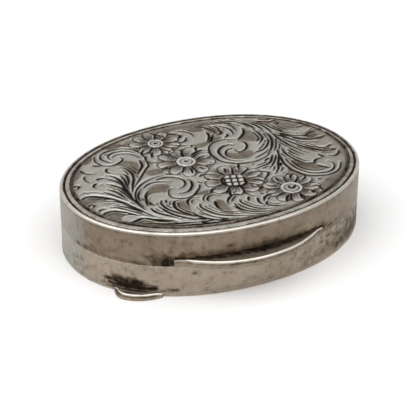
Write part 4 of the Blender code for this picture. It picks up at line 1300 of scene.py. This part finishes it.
def build_engraved_plate():
    """The engraved field: relief and colour, both read from the drawing board."""
    board = draw_engraving()
    points, faces = plate_mesh(*FIELD_GRID, (FIELD_INSET, FIELD_TOP), [(FIELD_INSET, PLATE_LOW[2])])
    on_top = points[:, 2] > PLATE_LOW[2] + 0.01
    to_rim = inside_oval(points[:, 0], points[:, 1], FIELD_INSET)
    edge = np.clip((1 - inside_oval(points[:, 0], points[:, 1], FIELD_INSET + 0.05)) / 0.03, 0, 1)
    shift_field(points, np.full(len(points), FIELD_INSET))
    x, y = points[:, 0], points[:, 1]

    cut, ridge, fine = (board.at(layer, x, y) for layer in (board.cut, board.ridge, board.fine))
    petal, shade = (board.at(soften(layer, 2), x, y) for layer in (board.petal, board.shade))
    ground = board.at(soften(board.ground, 9), x, y) * (0.78 + 0.3 * ripple(points, 2.2, 45))
    slope_y, slope_x = np.gradient(soften(board.cut, 2), CELL)
    facing = board.at(slope_x, x, y) * LIT_SIDE[0] + board.at(slope_y, x, y) * LIT_SIDE[1]
    # lee is painted shadow on the side of each cut away from LIT_SIDE; it also sinks the surface a little.
    lee = np.exp(-np.maximum(cut, 0) / 0.32) * np.clip(0.25 - 0.75 * facing, 0, 1)
    rise = np.clip(-ridge / 0.10 + 0.3, 0, 1)
    ground = np.clip(ground - petal - rise, 0, 1)
    along = x * math.sin(HATCH_BEARING) - y * math.cos(HATCH_BEARING)
    hatch = 0.5 + 0.5 * np.cos(FULL_TURN * along / HATCH_PITCH)

    relief = 0.018 * (1 - np.exp(-np.maximum(cut, 0) / 0.35))
    relief -= np.clip((0.05 - cut) * CUT_SLOPE, 0, CUT_DEPTH) * (1 - 0.9 * rise)
    relief -= np.maximum(0, 0.06 - fine) * 0.7 + 0.03 * lee * (1 - rise)
    relief -= ground * (GROUND_DEPTH - HATCH_RISE * hatch)
    relief += 0.03 * rise + 0.02 * burr_height(cut, 0.15, 0.10) + 0.02 * petal
    relief = np.minimum(relief, HEIGHT - FIELD_TOP - 0.005) * edge
    points[:, 2] += np.where(on_top, relief, 0)

    dark = np.clip((0.055 - cut) / 0.11, 0, 1) * (1 - 0.95 * rise)
    line = np.clip((0.07 - fine) / 0.12, 0, 1) * 0.8 * (1 - rise)
    # The burrs' bright metal with a painted highlight, stronger on the lit side of each cut, with painted
    # highlights along the ridges and towards the petal tips.
    burr_and_highlight = burr_height(cut, 0.19, 0.11) * (0.6 + 0.4 * ripple(points, 3.2, 43))
    burr_and_highlight *= np.clip(0.40 + 0.80 * facing, 0.08, 1)
    burr_and_highlight = np.clip(burr_and_highlight + rise * 0.66 + 0.22 * petal * (1 - shade), 0, 1) * (1 - dark) * (1 - 0.7 * ground)
    # Oxide by the cuts, with painted shade on the lee of each cut, over the petals and by the field's edge;
    # skirt and dingy darken the field near its edge and in two broad patches.
    by_cuts = np.exp(-np.maximum(cut - 0.05, 0) / 0.22) * ripple(points, 4.5, 44)
    skirt, rim_shade = (np.clip(1 - (1 - to_rim) / reach, 0, 1) for reach in (0.08, 0.03))
    dingy = np.exp(-((x - 21) / 6) ** 2 - (y / 12) ** 2) + np.exp(-((x - 6) / 16) ** 2 - ((y - 17) / 4) ** 2)
    grime_and_shade = 0.5 * by_cuts + 0.75 * lee * (1 - rise) + 0.95 * shade * (1 - rise)
    grime_and_shade += 0.30 * skirt + 0.45 * rim_shade + 0.35 * dingy
    make_piece("engraved_plate", points, faces, ENGRAVED_SILVER, "lid", ["lid_plate"],
               {"cut": np.maximum(dark, line), "ground": ground * (0.8 + 0.2 * hatch), "burr_and_highlight": burr_and_highlight,
                "grime_and_shade": np.clip(grime_and_shade, 0, 1)}, 75)


def build_lining():
    """The plain sheet that closes the lid from inside, a little uneven and dull."""
    high = PLATE_LOW[2] + 0.02
    low = high - LINING_THICK
    side = [(LINING_INSET, low + 0.03)]
    points, faces = plate_mesh(120, 90, (LINING_INSET, high), side, (LINING_INSET + 0.05, low))
    under = points[:, 2] < low + 0.01
    points[under, 2] += 0.05 * ripple(points[under], 9, 47)
    make_piece("lid_lining", points, faces, INSIDE_SILVER, "lid", (),
               {"stain_and_shade": 0.5 * rim_dirt(points, LINING_INSET, 3, 48), "edge": 0.0}, 50)


# ---------------------------------------------------------------- thumbpieces

class Thumb:
    """A crescent ledge on a wall: bearings in degrees, the rest in millimetres."""

    def __init__(self, start, peak, end, sweep, power, proud, blunt, bottom, top):
        self.start, self.peak, self.end = start, peak, end
        self.sweep, self.power, self.proud, self.blunt = sweep, power, proud, blunt
        self.bottom, self.top = bottom, top

    def stand(self, bearing):
        """How far it stands out at this bearing."""
        share = abs(bearing - self.peak) / self.sweep[0 if bearing < self.peak else 1]
        return (self.blunt ** 3 + max(0.0, self.proud * (1 - share ** self.power)) ** 3) ** (1 / 3)


LID_THUMB = Thumb(-124.5, -94, -66.5, sweep=(27, 26), power=2, proud=2.40, blunt=0.28,
                  bottom=LID_THUMB_LOW[2], top=LID_THUMB_HIGH[2])
BASE_THUMB = Thumb(-149.8, -143, -128.9, sweep=(6.8, 15), power=2.2, proud=2.00, blunt=0.25,
                   bottom=BASE_THUMB_LOW[2], top=BASE_THUMB_HIGH[2])
THUMB_ROUND = 0.22
THUMB_DISH = 0.05


def wall_place(bearing):
    """The oval's point at a bearing in degrees, and the outward direction there."""
    turn = np.array([math.radians(bearing)])
    return oval(turn)[0], oval_normals(turn)[0]


def thumb_section(proud, thick, dish, lean):
    """The outline of a thumbpiece, as (distance from the wall, height above its bottom)."""
    r = min(THUMB_ROUND, proud / 3, thick / 3)
    r_under = r * 0.7
    outline = [(0.0, 0.0), (proud * 0.5, 0.0)]
    outline += [(proud - r_under + r_under * math.sin(a), r_under - r_under * math.cos(a))
                for a in np.radians((0, 45, 90))]
    outline += [(proud - lean * s, r + (thick - 2 * r) * s) for s in (0.25, 0.5, 0.75)]
    outline += [(proud - lean - r + r * math.cos(a), thick - r + r * math.sin(a))
                for a in np.radians((0, 22, 45, 67, 90))]
    reach = proud - lean - r
    outline += [(reach * (1 - s), thick - dish * math.sin(math.pi * s)) for s in (0.12, 0.25, 0.4, 0.55, 0.7)]
    outline += [(reach * 0.18, thick), (reach * 0.07, thick - 0.02), (0.0, thick)]
    return outline


# Each point of that outline: how far it is rubbed bright and given a painted highlight, and how much painted
# shade its face gets under the lip.
THUMB_LIP_RUB_AND_HIGHLIGHT = np.array([0.0] * 8 + [0.5, 1, 1, 1, 0.5] + [0.0] * 8)
THUMB_UNDER_LIP = np.array([0.0] * 6 + [0.40] * 2 + [0.0] * 13)
FULL_SHINE_POINT = 15  # the outline's point from which the top gets its full painted highlight, outwards to the lip


def build_thumb(name, thumb, body, node, seed, lean, shaded, top_highlight, spread):
    """A thumbpiece swept along the wall, its upper edge rubbed bright with a painted highlight and its blunt
    ends eased.

    shaded is about the share of its top, from the wall outwards, that is painted with shade; the top also gets
    a painted highlight that brightens towards its lip, by the amount given after shaded, and spread is how
    steeply.
    """
    thick = thumb.top - thumb.bottom
    steps = 120
    rows, edge_rows, shade_rows = [], [], []
    for step in range(steps + 1):
        share = step / steps
        bearing = thumb.start + (thumb.end - thumb.start) * share
        proud = thumb.stand(bearing)
        near_end = min(share, 1 - share) * steps
        eased = 1 - 0.25 * max(0.0, 1 - near_end / 2) ** 2
        base, outward = wall_place(bearing)
        worn = abs(0.03 * math.sin(bearing * 1.7) + 0.02 * math.sin(bearing * 4.1 + seed)) * 0.4
        full = min(1, proud)
        section = thumb_section(proud * eased, thick, THUMB_DISH * full, lean * full)
        row = [(*(base + outward * (away - 0.02)), thumb.bottom + height * (1 + (eased - 1) * 0.4))
               for away, height in section]
        rows.append([(x, y, z - worn * (z > thumb.bottom + thick * 0.6)) for x, y, z in row])
        away, height = np.array(section).T
        on_top = height > thick * 0.8
        lip_rub_and_highlight = min(1.0, max(0.0, 20 * share - 1)) * THUMB_LIP_RUB_AND_HIGHLIGHT
        reach = max(0.3, away[FULL_SHINE_POINT])
        # A painted highlight on the top, brightening towards its lip.
        shine = top_highlight * np.clip(away / reach, 0, 1) ** (spread * (0.5 + share))
        edge_rows.append(np.maximum(lip_rub_and_highlight, shine * on_top))
        shadow = on_top * np.clip(1.2 - away / (shaded * max(proud, 0.4)), 0, 1)
        shade_rows.append(np.maximum(THUMB_UNDER_LIP, shadow))
    points, faces = swept_solid(rows, flipped=True)
    stain_and_shade = np.clip(np.array(shade_rows).ravel() * (0.7 + 0.6 * ripple(points, 1.5, seed)), 0, 1)
    make_piece(name, points, faces, THUMB_SILVER, body, [node],
               {"stain_and_shade": stain_and_shade, "edge": np.array(edge_rows).ravel()}, 45)


def build_bead(name, thumb, body, start, end, size, seed):
    """The untidy seam of solder along a thumbpiece's upper joint, which turns down past its right end."""
    steps, sides = 150, 10
    rows = []
    for step in range(steps + 1):
        share = step / steps
        bearing = start + (end - start) * share
        past = max(0.0, (bearing - thumb.end) / (end - thumb.end))
        drop = (thumb.top - thumb.bottom) * 0.75 * past ** 1.6
        base, outward = wall_place(bearing)
        lump = 0.8 + 0.14 * math.sin(bearing * 0.7 + seed) + 0.12 * math.sin(bearing * 1.9 + 2 * seed)
        taper = min(1.0, 8 * share + 0.15, 8 * (1 - share) + 0.15)
        radius = size * (lump + 1.2 * past) * taper
        middle = thumb.top - drop + 0.3 * radius
        angles = [FULL_TURN * side / sides for side in range(sides)]
        rows.append([(*(base + outward * radius * (0.25 + math.cos(a))), middle + radius * math.sin(a))
                     for a in angles])
    points, faces = swept_solid(rows)
    make_piece(name, points, faces, THUMB_SILVER, body, (),
               {"stain_and_shade": 0.45 + 0.55 * ripple(points, 1.3, 90 + seed), "edge": 0.0}, 60)


# ---------------------------------------------------------------- hinge barrels

SIDES = 48


def lathe(profile, footed_from=None):
    """Rings of points round X, one for each (x, radius) of a profile.

    In rings wider than footed_from, the lower quarter by the wall is filled out square.
    """
    turns = np.arange(SIDES) * FULL_TURN / SIDES
    rows = []
    for x, radius in profile:
        reach = np.full(SIDES, radius)
        if footed_from is not None and radius > footed_from:
            quarter = (turns > math.pi) & (turns < 1.5 * math.pi)
            square = radius / np.maximum(np.abs(np.cos(turns)), np.abs(np.sin(turns)))
            reach = np.where(quarter, square, reach)
        rows.append(np.column_stack([np.full(SIDES, x), reach * np.cos(turns), reach * np.sin(turns)]))
    return np.array(rows)


def build_knuckle(hinge, index, name, node, body, footed):
    """One tube of a barrel, with eased rims, slightly waisted by filing."""
    half, radius, bore, r = hinge.length / 2, hinge.radius, hinge.bore, EDGE_ROUND
    outer = [(-half, radius - r), (-half + 0.3 * r, radius - 0.3 * r), (-half + r, radius)]
    belly = [(x * half, radius - 0.015 * (1 + math.cos(3 * x + index))) for x in np.linspace(-0.8, 0.8, 9)]
    inner = [(half, bore + 0.03), (half - 0.04, bore), (-half + 0.04, bore), (-half, bore + 0.03)]
    profile = outer + belly + [(-x, away) for x, away in outer[::-1]] + inner
    local = np.concatenate(lathe(profile, (radius + bore) / 2 if footed else None))
    local[:, 0] += hinge.middle(index)
    faces = [face[::-1] for face in strip_faces(len(profile), SIDES, True, True)]
    ring = np.repeat(np.arange(len(profile)), SIDES)
    first_inner = len(profile) - len(inner)
    at_rim = (ring < len(outer)) | ((ring >= first_inner - len(outer)) & (ring < first_inner))
    # Darker on the side by the wall: grime, with painted shade where the barrel meets it.
    grime_and_shade = np.clip(0.7 - (local[:, 1] + radius) / radius, 0, 1) * 0.9
    make_piece(name, hinge.back(local), faces, HINGE_SILVER, body, [node],
               {"stain_and_shade": worst(grime_and_shade, 0.5 * (ring >= first_inner)), "edge": at_rim * 0.7}, 50)


def build_solder(hinge, index, name, body, up, wall_at):
    """The fillet of solder that joins one knuckle to its wall, above the barrel or below it."""
    steps, rows, radius, tangent = 14, [], hinge.radius, math.radians(98)
    for step in range(steps + 1):
        share = 2 * step / steps - 1
        x = hinge.middle(index) + share * (hinge.length / 2 - 0.05)
        full = math.sqrt(max(0.0, 1 - 0.75 * abs(share) ** 6))
        wall = wall_at(x)
        start = (radius * math.cos(tangent), radius * math.sin(tangent) - 0.02)
        bend = (wall + 0.10, radius + 0.02)
        end = (wall, radius + 0.42 * full)
        corners = list(zip(start, bend, end))
        curve = [tuple((1 - s) ** 2 * a + 2 * s * (1 - s) * b + s * s * c for a, b, c in corners)
                 for s in np.linspace(0, 1, 8)]
        back = [(wall - 0.12, end[1]), (wall - 0.12, radius * 0.72), (-radius * 0.55, radius * 0.72)]
        rows.append([(x, y, z if up else -z) for y, z in curve + back])
    local, faces = swept_solid(rows, flipped=not up)
    points = hinge.back(local)
    make_piece(name, points, faces, HINGE_SILVER, body, (),
               {"stain_and_shade": 0.35 + 0.4 * ripple(points, 1.0, 60 + index), "edge": 0.0}, 40)


def build_pin(hinge):
    """The wire through a barrel, with its ends rounded over."""
    end = hinge.half + 0.10
    wire = hinge.bore - 0.05
    profile = [(-end, 0.001), (-end, wire * 0.45), (-end + 0.05, wire * 0.8), (-end + 0.12, wire)]
    profile += [(x, wire) for x in np.linspace(-hinge.half + 0.1, hinge.half - 0.1, 12)]
    profile += [(-x, radius) for x, radius in profile[3::-1]]
    local, faces = swept_solid(lathe(profile), flipped=True)
    points = hinge.back(local)
    make_piece(f"{hinge.prefix}_pin", points, faces, PIN_SILVER, "box",
               [f"{hinge.prefix}_hinge_pin"], {"stain_and_shade": 0.3 * ripple(points, 1.5, 70), "edge": 0.0}, 40)


def build_hinge(hinge):
    """Five knuckles, the first, third and fifth on the box, and the pin through them."""
    for index, side in enumerate(("left", "left", "centre", "right", "right")):
        fixed = index % 2 == 0
        owner = "body" if fixed else "lid"
        build_knuckle(hinge, index, f"{hinge.prefix}_{owner}_knuckle_{side}",
                      f"{hinge.prefix}_hinge_{owner}_knuckle_{side}", "box" if fixed else hinge.lid_body,
                      hinge.footed and not fixed)
    build_pin(hinge)


def build_hinge_solder(hinge):
    """The solder that holds each knuckle of the lid's barrel to its wall."""
    seat = hinge.matrix[1, 3]

    def wall_at(x):
        return HALF_WIDTH * (1 - (abs(x) / HALF_LENGTH) ** OVAL_POWER) ** (1 / OVAL_POWER) - seat

    for index in range(5):
        fixed = index % 2 == 0
        body = "box" if fixed else hinge.lid_body
        build_solder(hinge, index, f"lid_hinge_solder_{index + 1}", body, not fixed, wall_at)


# ---------------------------------------------------------------- floor, light and camera

FLOOR = -0.00002  # metres; just under the base, so that the two faces don't coincide
FLOOR_REACH = 3.0
WORLD_STRENGTH = 0.60
LIGHT_AIM = (0, 0, 0.005)
KEY_LIGHT = {"place": (-0.30, 0.02, 0.60), "size": 0.95, "power": 3.4}
FILL_LIGHT = {"place": (0.15, -0.42, 0.62), "size": 0.70, "power": 1.9}


def build_stage():
    """A plain pale floor."""
    material, tree, shader = shader_tree("pale_floor")
    shade = fit(tree, noise(tree, 6, 2, 0.5), 0.3, 0.7)
    colour = blend_colours(tree, shade, (0.90, 0.90, 0.90), (0.93, 0.93, 0.93))
    tree.links.new(colour, shader.inputs["Base Color"])
    shader.inputs["Roughness"].default_value = 0.9
    shader.inputs["Specular IOR Level"].default_value = 0.1
    mesh = bpy.data.meshes.new("pale_floor")
    corners = [(x * FLOOR_REACH, y * FLOOR_REACH, FLOOR) for x, y in ((-1, -1), (1, -1), (1, 1), (-1, 1))]
    mesh.from_pydata(corners, [], [(0, 1, 2, 3)])
    mesh.materials.append(material)
    floor = bpy.data.objects.new("pale_floor", mesh)
    bpy.context.scene.collection.objects.link(floor)


def area_light(name, place, size, power):
    """A soft square light, turned to the box; its place and size in metres, its power in watts."""
    light = bpy.data.lights.new(name, "AREA")
    light.shape = "SQUARE"
    light.size = size
    light.energy = power
    lamp = bpy.data.objects.new(name, light)
    lamp.location = place
    lamp.rotation_euler = (Vector(LIGHT_AIM) - Vector(place)).to_track_quat("-Z", "Y").to_euler()
    bpy.context.scene.collection.objects.link(lamp)


CAMERA_ELEVATION, CAMERA_AZIMUTH, CAMERA_ROLL = 29.32, -27.75, 0.28  # degrees
CAMERA_DISTANCE = 244.65  # millimetres from the box's middle
CAMERA_LENS, CAMERA_SENSOR = 130.85, 36  # millimetres
FRAMING = (-0.0086, -0.0209)  # the shift that puts the box a little right of the frame's middle, and above it


def build_view():
    """The world, the lights and the camera."""
    scene = bpy.context.scene
    world = bpy.data.worlds.new("pale_studio")
    world.use_nodes = True
    background = world.node_tree.nodes["Background"]
    background.inputs["Color"].default_value = (1.0, 1.0, 1.0, 1.0)
    background.inputs["Strength"].default_value = WORLD_STRENGTH
    scene.world = world
    area_light("key", **KEY_LIGHT)
    area_light("fill", **FILL_LIGHT)

    lift, swing = math.radians(CAMERA_ELEVATION), math.radians(CAMERA_AZIMUTH)
    towards = Vector((math.sin(swing) * math.cos(lift), -math.cos(swing) * math.cos(lift), math.sin(lift)))
    middle = Vector((0, 0, HEIGHT / 2 * MM))
    camera = bpy.data.objects.new("camera", bpy.data.cameras.new("camera"))
    camera.data.lens = CAMERA_LENS
    camera.data.sensor_width = CAMERA_SENSOR
    camera.data.clip_start = 0.01
    camera.data.shift_x, camera.data.shift_y = FRAMING
    roll = Matrix.Rotation(math.radians(CAMERA_ROLL), 4, "Z")
    turned = towards.to_track_quat("Z", "Y").to_matrix().to_4x4() @ roll
    camera.matrix_world = Matrix.Translation(middle + towards * CAMERA_DISTANCE * MM) @ turned
    scene.collection.objects.link(camera)
    scene.camera = camera
    scene.view_settings.view_transform = "Standard"


build_lid_wall()
build_body_wall()
build_floor()
build_base_lid()
build_border()
build_engraved_plate()
build_lining()
build_ring("bezel", BEZEL_LOW[2], BEZEL_HIGH[2], BEZEL_INSET, BEZEL_WALL, "box", "body_bezel", 31)
build_ring("base_lid_rim", RIM_LOW[2], RIM_HIGH[2], RIM_INSET, RIM_WALL, "base_lid", "base_rim", 33)
build_thumb("lid_thumb", LID_THUMB, "lid", "lid_thumbpiece", 1, lean=0.10, shaded=0.45, top_highlight=0.30, spread=2)
build_thumb("base_thumb", BASE_THUMB, "base_lid", "base_thumbpiece", 2, lean=0.70, shaded=0.14, top_highlight=0.95,
            spread=1.2)
build_bead("lid_thumb_solder", LID_THUMB, "lid", -125.2, -64.3, 0.07, 1)
build_bead("base_thumb_solder", BASE_THUMB, "base_lid", -150.8, -128.2, 0.045, 2)
build_hinge(LID_HINGE)
build_hinge(BASE_HINGE)
build_hinge_solder(LID_HINGE)
build_stage()
build_view()
